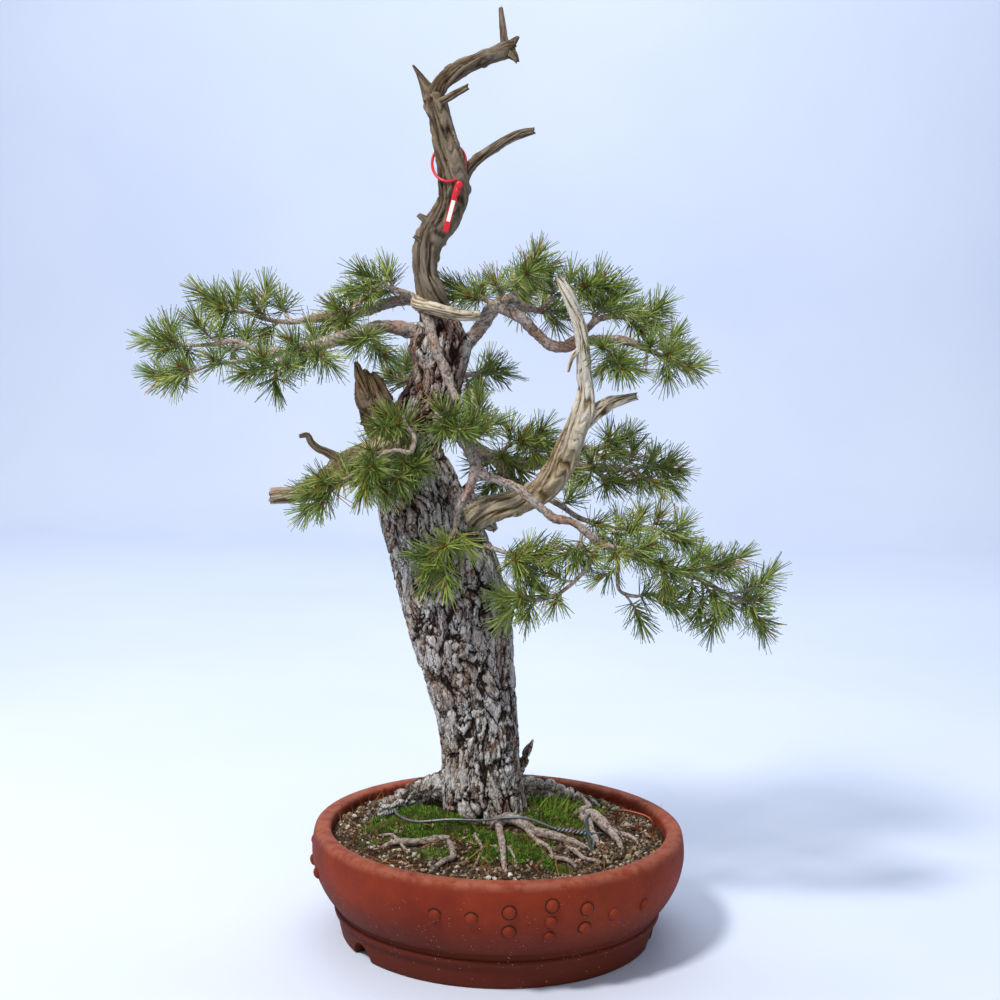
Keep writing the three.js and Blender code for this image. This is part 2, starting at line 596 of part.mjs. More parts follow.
// Needles are raised from single facets round the shoot's outer end, even on all sides, and lean
// toward its tip. The one at the very tip is the middle of the end face drawn out.
function growNeedles(name, shoot, random) {
  const mesh = shootMesh(shoot, random() * 2);
  const axis = shoot.end.clone().sub(shoot.root).normalize();
  const length = shoot.root.distanceTo(shoot.end);
  const along = (spot) => spot.clone().sub(shoot.root).dot(axis);
  const facets = mesh.triangles.map((corners, index) => {
    const spots = corners.map((i) => mesh.spots[i]);
    const centre = spots[0].clone().add(spots[1]).add(spots[2]).divideScalar(3);
    const normal = spots[1].clone().sub(spots[0]).cross(spots[2].clone().sub(spots[0])).normalize();
    return { index, corners, centre, normal, reach: along(centre) };
  });
  const onSide = facets.filter((f) => Math.abs(f.normal.dot(axis)) < 0.5);
  const ringed = onSide.filter((f) => f.reach > length - NEEDLE_RINGS * RING_SPACING);
  ringed.sort((p, q) => p.reach - q.reach || p.index - q.index);
  const chosen = ringed.filter((_, i) => i % 2 === 0 || ringed.length < 8);
  const raised = new Map();
  const tipMiddle = mesh.spots.findIndex((spot) => spot.distanceTo(shoot.end) < 0.2);
  const tipNeedle = shoot.end.clone().addScaledVector(axis, NEEDLE_LENGTH * 0.9);
  if (isClear(shoot.end, tipNeedle, NEEDLE_RADIUS, name)
    && ownClear(name, shoot, shoot.end, tipNeedle)) {
    mesh.spots[tipMiddle] = tipNeedle;
    capsules.push({ a: shoot.end, b: tipNeedle, r: NEEDLE_RADIUS, owner: name, shoot });
  }
  for (const facet of chosen) {
    const back = (length - facet.reach) / (NEEDLE_RINGS * RING_SPACING);
    for (let attempt = 0; attempt < 10; attempt += 1) {
      const jitter = new THREE.Vector3(random() - 0.5, random() - 0.5, random() - 0.5);
      const lean = 0.5 + back * 0.6 + (random() - 0.5) * (0.2 + attempt * 0.06);
      const direction = axis.clone().multiplyScalar(Math.cos(lean))
        .addScaledVector(facet.normal, Math.sin(lean))
        .addScaledVector(jitter, 0.25 + attempt * 0.09);
      direction.normalize();
      const end = facet.centre.clone().addScaledVector(direction, NEEDLE_LENGTH * (0.86 + 0.22 * random()));
      if (direction.dot(facet.normal) > 0.2 && isClear(facet.centre, end, NEEDLE_RADIUS, name)
        && ownClear(name, shoot, facet.centre, end)) {
        raised.set(facet.index, end);
        capsules.push({ a: facet.centre, b: end, r: NEEDLE_RADIUS, owner: name, shoot });
        break;
      }
    }
  }
  const triangles = mesh.triangles.flatMap(([a, b, c], index) => {
    if (!raised.has(index)) {
      return [[a, b, c]];
    }
    const tip = mesh.spots.push(raised.get(index)) - 1;
    return [[a, b, tip], [b, c, tip], [c, a, tip]];
  });
  return body({ spots: mesh.spots, triangles });
}

// A lathe turned about +Z from a [radius, height] profile that starts and ends on the axis
function turned(profile, segments) {
  const points = profile.map(([r, z]) => new THREE.Vector2(r, z));
  const geometry = new THREE.LatheGeometry(points, segments);
  geometry.rotateX(Math.PI / 2);
  return geometry;
}

// Pot
const INNER_WALL = [[0, FLOOR_TOP], [158, FLOOR_TOP], [190, 46], [206, 80], [212, 124]];

function buildPot() {
  const outer = [
    [0, FOOT_RECESS], [FOOT_INNER_RADIUS - 2, FOOT_RECESS], [FOOT_INNER_RADIUS, 0], [FOOT_RADIUS, 0],
    [203, 24], [206.5, 30], [203, 35], [208, 42], [220, 59], [231, 82], [POT_RADIUS, 104], [235, 118],
    [POT_RADIUS - 4, POT_HEIGHT - 3], [POT_RADIUS - 9, POT_HEIGHT],
    [POT_RADIUS - RIM_WIDTH - 3, POT_HEIGHT],
  ];
  const inner = [...INNER_WALL].reverse();
  let pot = solid(turned([...outer, ...inner], POT_SEGMENTS));
  for (const bearing of NOTCH_BEARINGS) {
    const arch = new THREE.CylinderGeometry(NOTCH_RADIUS, NOTCH_RADIUS, 60, 10);
    arch.translate(0, -(FOOT_RADIUS - 5), 0);
    arch.rotateZ(THREE.MathUtils.degToRad(bearing));
    pot = pot.subtract(solid(arch));
  }
  for (const [x, y] of drainSpots()) {
    const hole = new THREE.CylinderGeometry(DRAIN_RADIUS, DRAIN_RADIUS, 60, 8);
    hole.rotateX(Math.PI / 2);
    hole.translate(x, y, 20);
    pot = pot.subtract(solid(hole));
  }
  return join([pot, ...studs()]);
}

function drainSpots() {
  return Array.from({ length: DRAIN_COUNT }, (_, i) => {
    const bearing = ((i + 0.25) * 2 * Math.PI) / DRAIN_COUNT;
    return [DRAIN_RING * Math.cos(bearing), DRAIN_RING * Math.sin(bearing)];
  });
}

// Nail-head studs: three groups round the belly, each a lens of 1, 1, 2, 3, 2, 1 and 1
const STUD_GROUPS = [15.5, 135.5, 255.5];
const STUD_COLUMNS = [
  { turn: -33, heights: [97] }, { turn: -22.5, heights: [97] }, { turn: -12, heights: [106, 82] },
  { turn: 0, heights: [112, 92, 73] }, { turn: 10.5, heights: [104, 80] }, { turn: 20, heights: [91] },
  { turn: 32.5, heights: [91] },
];

function studs() {
  const made = [];
  for (const centre of STUD_GROUPS) {
    for (const { turn, heights } of STUD_COLUMNS) {
      for (const height of heights) {
        const seat = bellyRadius(height);
        const stud = new THREE.ConeGeometry(STUD_RADIUS * 1.6, STUD_RISE + STUD_SINK, 5);
        stud.rotateX(Math.PI);
        stud.translate(0, -(seat + (STUD_RISE - STUD_SINK) / 2), height);
        stud.rotateZ(THREE.MathUtils.degToRad(centre + turn));
        made.push(solid(stud));
      }
    }
  }
  return made;
}

function bellyRadius(height) {
  const flat = Math.cos(Math.PI / POT_SEGMENTS);
  const belly = [[59, 220], [82, 231], [104, POT_RADIUS], [118, 235]];
  const i = Math.min(belly.findIndex(([z]) => z > height), belly.length - 1);
  const [z0, r0] = belly[i - 1];
  const [z1, r1] = belly[i];
  return flat * THREE.MathUtils.mapLinear(height, z0, z1, r0, r1);
}

// Soil: fills the pot to below the rim and rises in a mound at the trunk
function soilTop(x, y) {
  const fromMound = (x - MOUND_CENTRE[0]) ** 2 + (y - MOUND_CENTRE[1]) ** 2;
  const mound = MOUND_RISE * Math.exp(-fromMound / (2 * MOUND_SPREAD ** 2));
  return SOIL_EDGE + mound + 1.2 * Math.sin(x / 17) * Math.cos(y / 19);
}

function buildSoil(wood) {
  const wall = INNER_WALL.slice(0, -1).map(([r, z]) => [Math.max(r - GAP, 0), z + GAP]);
  const rings = [176, 124, 66, 0].map((r) => [r, SOIL_EDGE]);
  const [[lowRadius, lowHeight], [highRadius, highHeight]] = INNER_WALL.slice(-2);
  const edge = THREE.MathUtils.mapLinear(SOIL_EDGE - 1, lowHeight, highHeight, lowRadius, highRadius) - GAP;
  const geometry = turned([...wall, [edge, SOIL_EDGE - 1], ...rings], POT_SEGMENTS);
  const position = geometry.attributes.position;
  for (let i = 0; i < position.count; i += 1) {
    if (Math.abs(position.getZ(i) - SOIL_EDGE) < 0.5) {
      position.setZ(i, soilTop(position.getX(i), position.getY(i)));
    }
  }
  return solid(geometry).subtract(wood);
}

// Plastic mesh squares over the drain holes
const MESH_SIZE = 44;
const MESH_THICKNESS = 1.2;
const MESH_OPENING = [14, 32];

function meshSquare(x, y) {
  const sheet = new THREE.BoxGeometry(MESH_SIZE, MESH_SIZE, MESH_THICKNESS);
  let square = solid(sheet);
  for (const side of [-1, 1]) {
    const opening = new THREE.BoxGeometry(...MESH_OPENING, 10);
    opening.translate(side * 9, 0, 0);
    square = square.subtract(solid(opening));
  }
  return square.translate(x, y, FLOOR_TOP + GAP + MESH_THICKNESS / 2);
}

function meshBed(x, y) {
  const bed = new THREE.BoxGeometry(MESH_SIZE + 2 * GAP, MESH_SIZE + 2 * GAP, MESH_THICKNESS + 3 * GAP + 4);
  bed.translate(x, y, FLOOR_TOP - 2 + (MESH_THICKNESS + 3 * GAP) / 2);
  return solid(bed);
}

// Wires that lie on the soil: [x, y] spots, with the ends pushed down into it
const WIRES = {
  tie_wire: { look: 'aluminium', radius: 1.5,
    spots: [[-142, 60], [-128, 0], [-92, -52], [-40, -64], [20, -76], [66, -92], [92, -104], [104, -96]] },
  green_wire: { look: 'greenWire', radius: 1.6,
    spots: [[128, 60], [118, 10], [112, -40], [120, -88], [128, -112]] },
};

function wirePoints({ radius, spots }) {
  const last = spots.length - 1;
  return spots.map(([x, y], i) => [x, y, soilTop(x, y) + (i === 0 || i === last ? -12 : 4.5), radius]);
}

// A U of copper wire hooked over the soil beside the right rim
const COPPER_POINTS = [[152, 34, 112, 1.3], [152, 30, 140, 1.3], [158, 26, 149, 1.3], [190, 10, 146, 1.3],
  [197, 4, 136, 1.3], [197, 4, 112, 1.3]];

// The loop tag round the dead top, with its strip hanging at the front
const TAG = {
  centre: [-78, -4, 967], loopRadius: 25.5, band: 1.8, tilt: 55,
  knob: [-64, -29, 933], stripLength: 58, stripWidth: 7, stripThickness: 1.2,
  labelWidth: 4.6, labelLength: 26, labelThickness: 0.4,
};

function tagStripFrame() {
  const frame = new THREE.Matrix4().makeRotationY(THREE.MathUtils.degToRad(14));
  return frame.setPosition(TAG.knob[0] - 2, TAG.knob[1] - 0.5, TAG.knob[2]);
}

function buildTag() {
  const tilt = THREE.MathUtils.degToRad(TAG.tilt);
  const loop = new THREE.TorusGeometry(TAG.loopRadius, TAG.band, 4, 18);
  loop.scale(1, 1 / Math.cos(tilt), 1);
  loop.rotateX(tilt);
  loop.translate(...TAG.centre);
  const knob = new THREE.CylinderGeometry(4.5, 4.5, 8, 6);
  knob.translate(...TAG.knob);
  const strip = new THREE.BoxGeometry(TAG.stripWidth, TAG.stripThickness, TAG.stripLength);
  strip.translate(0, 0, -TAG.stripLength / 2);
  strip.applyMatrix4(tagStripFrame());
  return join([solid(loop), solid(knob), solid(strip)]);
}

function buildTagLabel() {
  const label = new THREE.BoxGeometry(TAG.labelWidth, TAG.labelThickness, TAG.labelLength);
  const lift = TAG.stripThickness / 2 + TAG.labelThickness / 2 + 0.3;
  label.translate(0, -lift, -TAG.stripLength * 0.55);
  label.applyMatrix4(tagStripFrame());
  return solid(label);
}

// Assembly of the wood
const LIVE_STEPS = 26;

function livingWood(grow) {
  const trunk = limb(TRUNK_POINTS, { sides: 15, steps: LIVE_STEPS, relief: barkRelief, grow });
  const branches = Object.values(LIVE_BRANCHES).map((points) => limb(points, {
    sides: points[0][3] > 7 ? 5 : 4, steps: Math.ceil(points.length * 0.75), grow,
  }));
  const roots = Object.values(ROOTS).map((points) => limb(points, {
    sides: points[0][3] > 12 ? 6 : 4, steps: points.length - 1, grow,
  }));
  return largest(join([trunk, ...branches, ...roots]));
}

function bareWood(name, grow) {
  return join(DEADWOOD[name].map(({ points, ...shape }) => limb(points, { ...shape, grow })));
}

const trunk = livingWood(0);
const trunkRoom = livingWood(GAP);
addPiece('trunk', trunk, LOOKS.bark);

let woodRoom = trunkRoom;
for (const name of Object.keys(DEADWOOD)) {
  const piece = largest(bareWood(name, 0).subtract(woodRoom));
  woodRoom = woodRoom.add(bareWood(name, GAP));
  addPiece(name, piece, name === 'deadwood_split_stub' ? LOOKS.tornwood : LOOKS.deadwood);
}

addCapsules(TRUNK_POINTS, 'wood', 40);
Object.values(LIVE_BRANCHES).forEach((points) => addCapsules(points, 'wood', points.length * 2));
Object.values(DEADWOOD).flat().forEach(({ points }) => addCapsules(points, 'wood', points.length * 2));

// Assembly of the sprays: all stems and shoots first, then the needles
const allSprays = Object.entries({ ...SPRAYS, ...BACK_SPRAYS }).map(([name, { r, stem, tips }], i) => {
  const last = stem.length - 1;
  const points = stem.map((p, k) => [...p, THREE.MathUtils.lerp(r[0], r[1], k / last)]);
  return { name: `spray_${name}`, points, tips, random: seeded(101 + i) };
});

for (const spray of allSprays) {
  addCapsules(spray.points, spray.name, spray.points.length * 2);
}

for (const spray of allSprays) {
  const stemCurve = new THREE.CatmullRomCurve3(spray.points.map(vec), false, 'centripetal');
  spray.shoots = [];
  for (const tip of spray.tips) {
    const shoot = growShoot(spray.name, stemCurve, vec(tip), spray.random);
    if (shoot) {
      spray.shoots.push(shoot);
      capsules.push({ a: shoot.root, b: shoot.end, r: SHOOT_RADIUS, owner: spray.name, shoot });
    }
  }
}

for (const spray of allSprays) {
  const stem = limb(spray.points, { sides: 4, steps: Math.max(2, spray.points.length - 1) });
  const parts = [stem];
  for (const shoot of spray.shoots) {
    parts.push(growNeedles(spray.name, shoot, spray.random));
  }
  addPiece(spray.name, largest(join(parts).subtract(woodRoom)), LOOKS.needles);
}

// Pot, drain mesh, wires and soil
addPiece('pot', buildPot(), LOOKS.clay);
drainSpots().forEach(([x, y], i) => addPiece(`drain_mesh_${i + 1}`, meshSquare(x, y), LOOKS.mesh));

const soilCuts = [trunkRoom, ...drainSpots().map(([x, y]) => meshBed(x, y))];
for (const [name, wire] of Object.entries(WIRES)) {
  const shape = { sides: 5, steps: wire.spots.length * 2 };
  const points = wirePoints(wire);
  addPiece(name, largest(limb(points, shape).subtract(trunkRoom)), LOOKS[wire.look]);
  soilCuts.push(limb(points, { ...shape, grow: GAP }));
}
const copperShape = { sides: 5, steps: 9 };
addPiece('copper_wire', limb(COPPER_POINTS, copperShape), LOOKS.copper);
soilCuts.push(limb(COPPER_POINTS, { ...copperShape, grow: GAP }));
addPiece('soil', largest(buildSoil(join(soilCuts))), LOOKS.soil);

addPiece('plant_tag', buildTag(), LOOKS.tag);
addPiece('tag_label', buildTagLabel(), LOOKS.label);

// The origin lies under the middle of the whole plant's box
const box = new THREE.Box3().setFromObject(group);
const middle = box.getCenter(new THREE.Vector3());
group.position.set(-middle.x, -middle.y, -box.min.z);
group.updateMatrixWorld(true);

export default group;
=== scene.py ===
from itertools import product
import math

import bmesh
import bpy
from mathutils import Matrix, Vector
import numpy as np


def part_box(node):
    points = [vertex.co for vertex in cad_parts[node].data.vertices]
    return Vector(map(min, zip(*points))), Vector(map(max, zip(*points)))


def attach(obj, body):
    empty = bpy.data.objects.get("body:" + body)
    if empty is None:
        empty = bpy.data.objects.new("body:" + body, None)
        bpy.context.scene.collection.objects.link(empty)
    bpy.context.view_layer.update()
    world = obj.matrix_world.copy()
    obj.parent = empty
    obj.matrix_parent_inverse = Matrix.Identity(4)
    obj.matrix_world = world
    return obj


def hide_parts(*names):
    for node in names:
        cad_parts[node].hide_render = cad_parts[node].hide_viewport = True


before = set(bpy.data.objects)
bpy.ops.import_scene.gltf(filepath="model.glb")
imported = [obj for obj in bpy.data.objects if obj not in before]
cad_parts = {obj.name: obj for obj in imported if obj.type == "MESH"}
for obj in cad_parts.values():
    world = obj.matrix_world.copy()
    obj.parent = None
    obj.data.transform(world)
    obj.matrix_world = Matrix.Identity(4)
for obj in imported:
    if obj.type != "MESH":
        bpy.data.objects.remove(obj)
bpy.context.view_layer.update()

# The pine is set out in millimetres from the pot's own axis, with z = 0 under the pot's feet
MM = 0.001
SOIL_LOW, SOIL_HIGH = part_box("soil")
POT_AXIS = np.array([(SOIL_LOW.x + SOIL_HIGH.x) / 2, (SOIL_LOW.y + SOIL_HIGH.y) / 2, 0.0])

# Driving sizes, in millimetres
POT_RADIUS = 235.5
POT_TURNS = 180
FOOT_RADIUS = 197
CUT_DEPTH = 60
FLOOR_TOP = 28
NOTCH_RADIUS = 19
NOTCH_BEARINGS = [-55, 75, 190]
DRAIN_RADIUS = 13
DRAIN_RING = 95
DRAIN_COUNT = 3
STUD_RADIUS = 7.6
STUD_RISE = 5.4
STUD_TURNS = 18

# Bearings in degrees: the middle of each group of studs, then each column in a group with its studs' heights
STUD_GROUPS = [15.5, 135.5, 255.5]
STUD_COLUMNS = {-33: [97], -22.5: [97], -12: [106, 82], 0: [112, 92, 73], 10.5: [104, 80], 20: [91],
                32.5: [91]}

# The soil's height at the rim, its radius and the mound at the trunk
SOIL_EDGE = 120
SOIL_RADIUS = 211.2
SOIL_TURNS = 190
MOUND = {"rise": 38, "spread": 85, "x": -20, "y": 35}

# Needles, and the length of shoot that bears them
NEEDLE_LENGTH = 32
BRUSH_LENGTH = 26
NEEDLE_WIDTH = 0.66
NEEDLE_SPACING = 0.55

# Where needles lean out from a shoot, in radians, and how far each may stray
FOOT_LEAN = 1.3
TIP_LEAN = 0.4
LEAN_STRAY = 0.38
GOLDEN_TURN = 2.39996
HALF_TURN = 3.1416

# A span of heights above the whole pine, in metres
NEVER_REACHED = (9.0, 10.0)


# Node trees

class Tap:
    """The output of one node. Sums on it add Math nodes to its tree."""

    def __init__(self, bench, socket):
        self.bench = bench
        self.socket = socket

    def math(self, operation, *values):
        return self.bench.node("ShaderNodeMath", {"operation": operation}, values)

    def __add__(self, other):
        return self.math("ADD", self, other)

    def __sub__(self, other):
        return self.math("SUBTRACT", self, other)

    def __rsub__(self, other):
        return self.math("SUBTRACT", other, self)

    def __mul__(self, other):
        return self.math("MULTIPLY", self, other)

    __radd__ = __add__
    __rmul__ = __mul__

    def most(self, other):
        return self.math("MAXIMUM", self, other)

    def also(self, name):
        """Another output of the same node"""
        return Tap(self.bench, self.socket.node.outputs[name])

    def between(self, low, high):
        """0 below low, 1 above high and a smooth rise from one to the other"""
        return self.bench.node("ShaderNodeMapRange", {"interpolation_type": "SMOOTHSTEP"}, [self, low, high])


class Bench:
    """A node tree being laid out"""

    def __init__(self, tree):
        self.tree = tree
        self.tree.nodes.clear()

    def node(self, kind, settings=None, values=(), out=0):
        """Adds a node and gives one of its outputs. All the taps in a list go to the same input."""
        made = self.tree.nodes.new(kind)
        for key, value in (settings or {}).items():
            if key == "stops":
                lay_stops(made.color_ramp, value)
            else:
                setattr(made, key, value)
        for key, value in values.items() if isinstance(values, dict) else enumerate(values):
            if not isinstance(value, (Tap, list)):
                made.inputs[key].default_value = value
                continue
            for tap in value if isinstance(value, list) else [value]:
                self.tree.links.new(tap.socket, made.inputs[key])
        return Tap(self, made.outputs[out]) if made.outputs else None

    def inlet(self, name):
        return self.node("NodeGroupInput", out=name)

    def draw(self, low, high, seed):
        """A random number for each element"""
        return self.node("FunctionNodeRandomValue", {"data_type": "FLOAT"}, {2: low, 3: high, 8: seed}, 1)


def lay_stops(ramp, stops):
    while len(ramp.elements) < len(stops):
        ramp.elements.new(0.5)
    for element, (place, colour) in zip(ramp.elements, stops):
        element.position = place
        element.color = colour


def tone(code):
    """A colour in six hex digits, as the linear values that a shader takes"""
    parts = [int(code[i:i + 2], 16) / 255 for i in (0, 2, 4)]
    linear = [p / 12.92 if p <= 0.04045 else ((p + 0.055) / 1.055) ** 2.4 for p in parts]
    return (*linear, 1.0)


class Finish(Bench):
    """A material, with patterns that lie on the piece's own Object coordinates"""

    def __init__(self, name):
        self.material = bpy.data.materials.new(name)
        self.material.use_nodes = True
        super().__init__(self.material.node_tree)
        self.spot = self.node("ShaderNodeTexCoord", out="Object")

    def value(self, name, out="Fac"):
        return self.node("ShaderNodeAttribute", {"attribute_name": name}, out=out)

    def stretched(self, spot, scale):
        return self.node("ShaderNodeMapping", None, {"Vector": spot, "Scale": scale})

    def noise(self, scale, detail=3.0, rough=0.55, spot=None, warp=0.0):
        return self.node("ShaderNodeTexNoise", None, {
            "Vector": spot or self.spot, "Scale": scale, "Detail": detail, "Roughness": rough,
            "Distortion": warp})

    def cells(self, scale, spot=None, feature="F1"):
        return self.node("ShaderNodeTexVoronoi", {"feature": feature}, {
            "Vector": spot or self.spot, "Scale": scale}, "Distance")

    def height(self):
        return self.node("ShaderNodeSeparateXYZ", None, [self.spot], "Z")

    def mix(self, share, first, second):
        return self.node("ShaderNodeMix", {"data_type": "RGBA"}, {0: share, 6: first, 7: second}, 2)

    def ramp(self, value, *stops):
        stops = [(place, tone(code)) for place, code in stops]
        return self.node("ShaderNodeValToRGB", {"stops": stops}, [value])

    def bump(self, height, depth):
        return self.node("ShaderNodeBump", None, {
            "Height": height, "Distance": depth, "Strength": 1.0}, "Normal")

    def done(self, **sockets):
        names = {"colour": "Base Color", "roughness": "Roughness", "metal": "Metallic", "normal": "Normal",
                 "gloss": "Specular IOR Level", "sheen": "Sheen Weight"}
        shader = self.node("ShaderNodeBsdfPrincipled", None, {
            names[key]: value for key, value in sockets.items()}, "BSDF")
        self.node("ShaderNodeOutputMaterial", None, {"Surface": shader})
        return self.material


# Materials

def clay_finish():
    look = Finish("red_brown_clay")
    body = look.mix(look.noise(7, 4, 0.6).between(0.35, 0.68), tone("6d1d06"), tone("8a3011"))
    body = look.mix(look.noise(38, 5, 0.65).between(0.45, 0.75), body, tone("78260b"))
    cloud_share = look.noise(9, 6, 0.7, warp=0.6).between(0.56, 0.76) * 0.35
    body = look.mix(cloud_share, body, tone("9f512e"))
    height = look.height()
    # Painted shade: the foot and the low belly are painted darker, where the belly shades them
    painted_low_shade = (1 - height.between(0.04, 0.1)) * 0.85
    body = look.mix(painted_low_shade, body, tone("541a06"))
    # Dust and a painted highlight: the rim's top is painted paler in patches
    dust_and_highlight = height.between(0.126, 0.136) * (look.noise(60, 4, 0.7).between(0.35, 0.6) * 0.35 + 0.1)
    body = look.mix(dust_and_highlight, body, tone("b5745a"))
    specks = (1 - look.cells(95).between(0.03, 0.075)) * look.noise(21, 2).between(0.5, 0.6)
    fine = (1 - look.cells(230).between(0.06, 0.14)) * look.noise(34, 2).between(0.52, 0.6)
    lime = specks.most(fine) * (1 - height.between(0.07, 0.13) * 0.8)
    body = look.mix(lime * 0.75, body, tone("e0cfc0"))
    # Painted shade: the flat collar round each stud is painted dark
    body = look.mix(look.value("groove") * 0.85, body, tone("2c0f07"))
    grain = look.noise(420, 3, 0.7) * 0.6 + look.noise(60, 3) * 0.4
    return look.done(colour=body, roughness=look.noise(30, 3) * 0.2 + 0.62,
                     normal=look.bump(grain, 0.0009), gloss=0.25)


def ground_finish():
    look = Finish("damp_ground")
    earth = look.ramp(look.noise(160, 5, 0.7), (0.3, "1e1610"), (0.52, "3a2b1e"), (0.72, "5c4834"))
    moss = look.ramp(look.noise(240, 4, 0.7), (0.3, "1c2a0c"), (0.7, "466018"))
    body = look.mix(look.value("moss").between(0.25, 0.6), earth, moss)
    return look.done(colour=body, roughness=0.95, gloss=0.2,
                     normal=look.bump(look.noise(330, 4, 0.75), 0.003))


def grit_finish():
    look = Finish("soil_grit")
    body = look.ramp(look.value("tint"), (0.0, "2e2219"), (0.25, "4d3a2a"), (0.45, "725c42"),
                     (0.6, "5a554e"), (0.75, "8f7d61"), (0.88, "a5967c"), (0.96, "cbc3b5"), (1.0, "e8e4da"))
    body = look.mix(look.noise(500, 3).between(0.45, 0.7) * 0.45, body, tone("43382b"))
    return look.done(colour=body, roughness=0.85, gloss=0.3, normal=look.bump(look.noise(900, 3), 0.0006))


def moss_finish():
    look = Finish("moss")
    body = look.ramp(look.value("tint"), (0.0, "22360a"), (0.4, "3f6311"), (0.75, "66901f"), (1.0, "98b23e"))
    body = look.mix(look.noise(24, 4).between(0.48, 0.66) * 0.75, body, tone("5d5222"))
    return look.done(colour=body, roughness=0.8, gloss=0.25, sheen=0.1,
                     normal=look.bump(look.noise(1200), 0.0004))


def grass_finish():
    look = Finish("grass")
    body = look.ramp(look.value("tint"), (0.0, "5f8a1e"), (0.6, "8db53a"), (1.0, "b9cf66"))
    body = look.mix(look.noise(300) * 0.3, body, tone("7a8a35"))
    return look.done(colour=body, roughness=0.6, gloss=0.4)


def litter_finish():
    look = Finish("dead_needles")
    body = look.ramp(look.value("tint"), (0.0, "4a2c17"), (0.5, "8a5530"), (1.0, "b8793f"))
    return look.done(colour=look.mix(look.noise(700) * 0.4, body, tone("55351c")), roughness=0.8, gloss=0.3)


def chip_finish():
    look = Finish("bark_chips")
    body = look.ramp(look.value("tint"), (0.0, "4c3022"), (0.5, "8a6450"), (1.0, "b79a86"))
    return look.done(colour=look.mix(look.noise(400, 3).between(0.4, 0.7) * 0.5, body, tone("5a3d2c")),
                     roughness=0.85, gloss=0.3, normal=look.bump(look.noise(700, 3), 0.0008))


def bark_finish():
    look = Finish("pine_bark")
    relief = look.value("relief")
    plate = look.value("plate")
    flake = look.value("flake")
    upright = look.stretched(look.spot, (1.0, 1.0, 0.32))
    fleck = look.noise(330, 6, 0.75, spot=upright)
    tops = look.ramp(fleck * 0.65 + flake * 0.35, (0.33, "483b31"), (0.4, "8c7f74"), (0.46, "c0b6ac"),
                     (0.53, "dcd7d1"), (0.65, "f1efec"))
    warm = look.noise(15, 4, 0.6).between(0.47, 0.6)
    tops = look.mix(warm * 0.5, tops, tone("a47d60"))
    ragged = look.noise(150, 4, 0.7, spot=upright) * 0.5 + plate * 0.75
    pale = ragged.between(0.78, 0.85) * relief.between(0.25, 0.5)
    tops = look.mix(pale * 0.9, tops, tone("dfdad3"))
    rust = look.noise(24, 4, 0.65, warp=1.0).between(0.62, 0.68)
    tops = look.mix(rust * 0.75, tops, tone("783d22"))
    ruddy = look.height().between(0.5, 0.66) * look.noise(30, 4).between(0.35, 0.6)
    tops = look.mix(ruddy * 0.75, tops, tone("80503a"))
    tops = look.mix(look.value("edge") * 0.7, tops, tone("eae6e0"))
    drift = look.node("ShaderNodeTexNoise", None, {
        "Vector": look.spot, "Scale": 130.0, "Detail": 3.0}, "Color")
    frayed = look.node("ShaderNodeVectorMath", {"operation": "MULTIPLY_ADD"}, [drift, (0.01,) * 3, upright])
    splits = look.cells(90, frayed, "DISTANCE_TO_EDGE").between(0.0, 0.055)
    hairs = look.cells(210, frayed, "DISTANCE_TO_EDGE").between(0.0, 0.08) * 0.4 + 0.6
    cracks = look.mix(look.noise(90, 3).between(0.4, 0.65), tone("1b120d"), tone("3d281b"))
    body = look.mix(relief.between(0.05, 0.34) * splits * hairs, cracks, tops)
    fine = look.noise(760, 4, 0.7, spot=upright) * 0.25 + fleck * 0.4 + splits * hairs * 0.35
    return look.done(colour=body, roughness=0.9, gloss=0.2, normal=look.bump(fine, 0.006))


def twig_finish(name, old):
    """Thin bark of the branches, roots and twigs: old is how far it has greyed"""
    look = Finish(name)
    relief = look.value("relief")
    tops = look.ramp(look.noise(300, 5, 0.7), (0.3, "6b5a4f"), (0.44, "a09086"), (0.58, "c2b5ac"),
                     (0.74, "d9d0c9"))
    orange = look.noise(34, 3).between(0.5, 0.66) * (0.75 - 0.6 * old)
    tops = look.mix(orange, tops, tone("9a6540"))
    marks = look.noise(170, 4, 0.7, warp=1.5).between(0.56, 0.63) * 0.65
    tops = look.mix(marks, tops, tone("4b372b"))
    body = look.mix(relief.between(0.1, 0.5), tone("3a281e"), tops)
    return look.done(colour=body, roughness=0.88, gloss=0.25,
                     normal=look.bump(look.noise(700, 4, 0.7), 0.0016))


def wood_finish(name, pale, mid, dark, rot, lit_heights=NEVER_REACHED):
    """Weathered wood without bark, with lines of grain along each limb. It is painted paler, a painted
    highlight for its lit upper part, where the height, in metres, goes through the given span."""
    look = Finish(name)
    grain = look.value("grain", "Vector")
    lines = look.noise(1.0, 6, 0.75, spot=grain, warp=0.5)
    streak = look.noise(0.3, 4, 0.65, spot=grain, warp=0.8)
    relief = look.value("relief")
    body = look.ramp(lines * 0.5 + relief * 0.5, (0.3, dark), (0.46, mid), (0.62, pale))
    body = look.mix(streak.between(0.47, 0.62) * 0.65, body, tone(rot))
    silver = look.noise(9, 4, 0.6).between(0.45, 0.62) * relief.between(0.3, 0.7)
    body = look.mix(silver * 0.3, body, tone("a9a299"))
    # Painted highlight: the raised wood is painted paler through the given heights, for the lit upper arm
    painted_highlight = look.height().between(*lit_heights) * relief.between(0.25, 0.55) * 0.7
    body = look.mix(painted_highlight, body, tone("ece7dc"))
    checks = look.noise(2.4, 5, 0.75, spot=grain).between(0.34, 0.43)
    body = look.mix(checks, tone("33241a"), body)
    holes = look.cells(170).between(0.1, 0.2)
    riddled = 1 - (1 - holes) * look.noise(16, 2).between(0.55, 0.6)
    body = look.mix(riddled, tone("20150e"), body)
    worn = lines * 0.6 + look.noise(2.4, 5, 0.75, spot=grain) * 0.4
    return look.done(colour=body, roughness=0.85, gloss=0.25, normal=look.bump(worn * riddled, 0.0032))


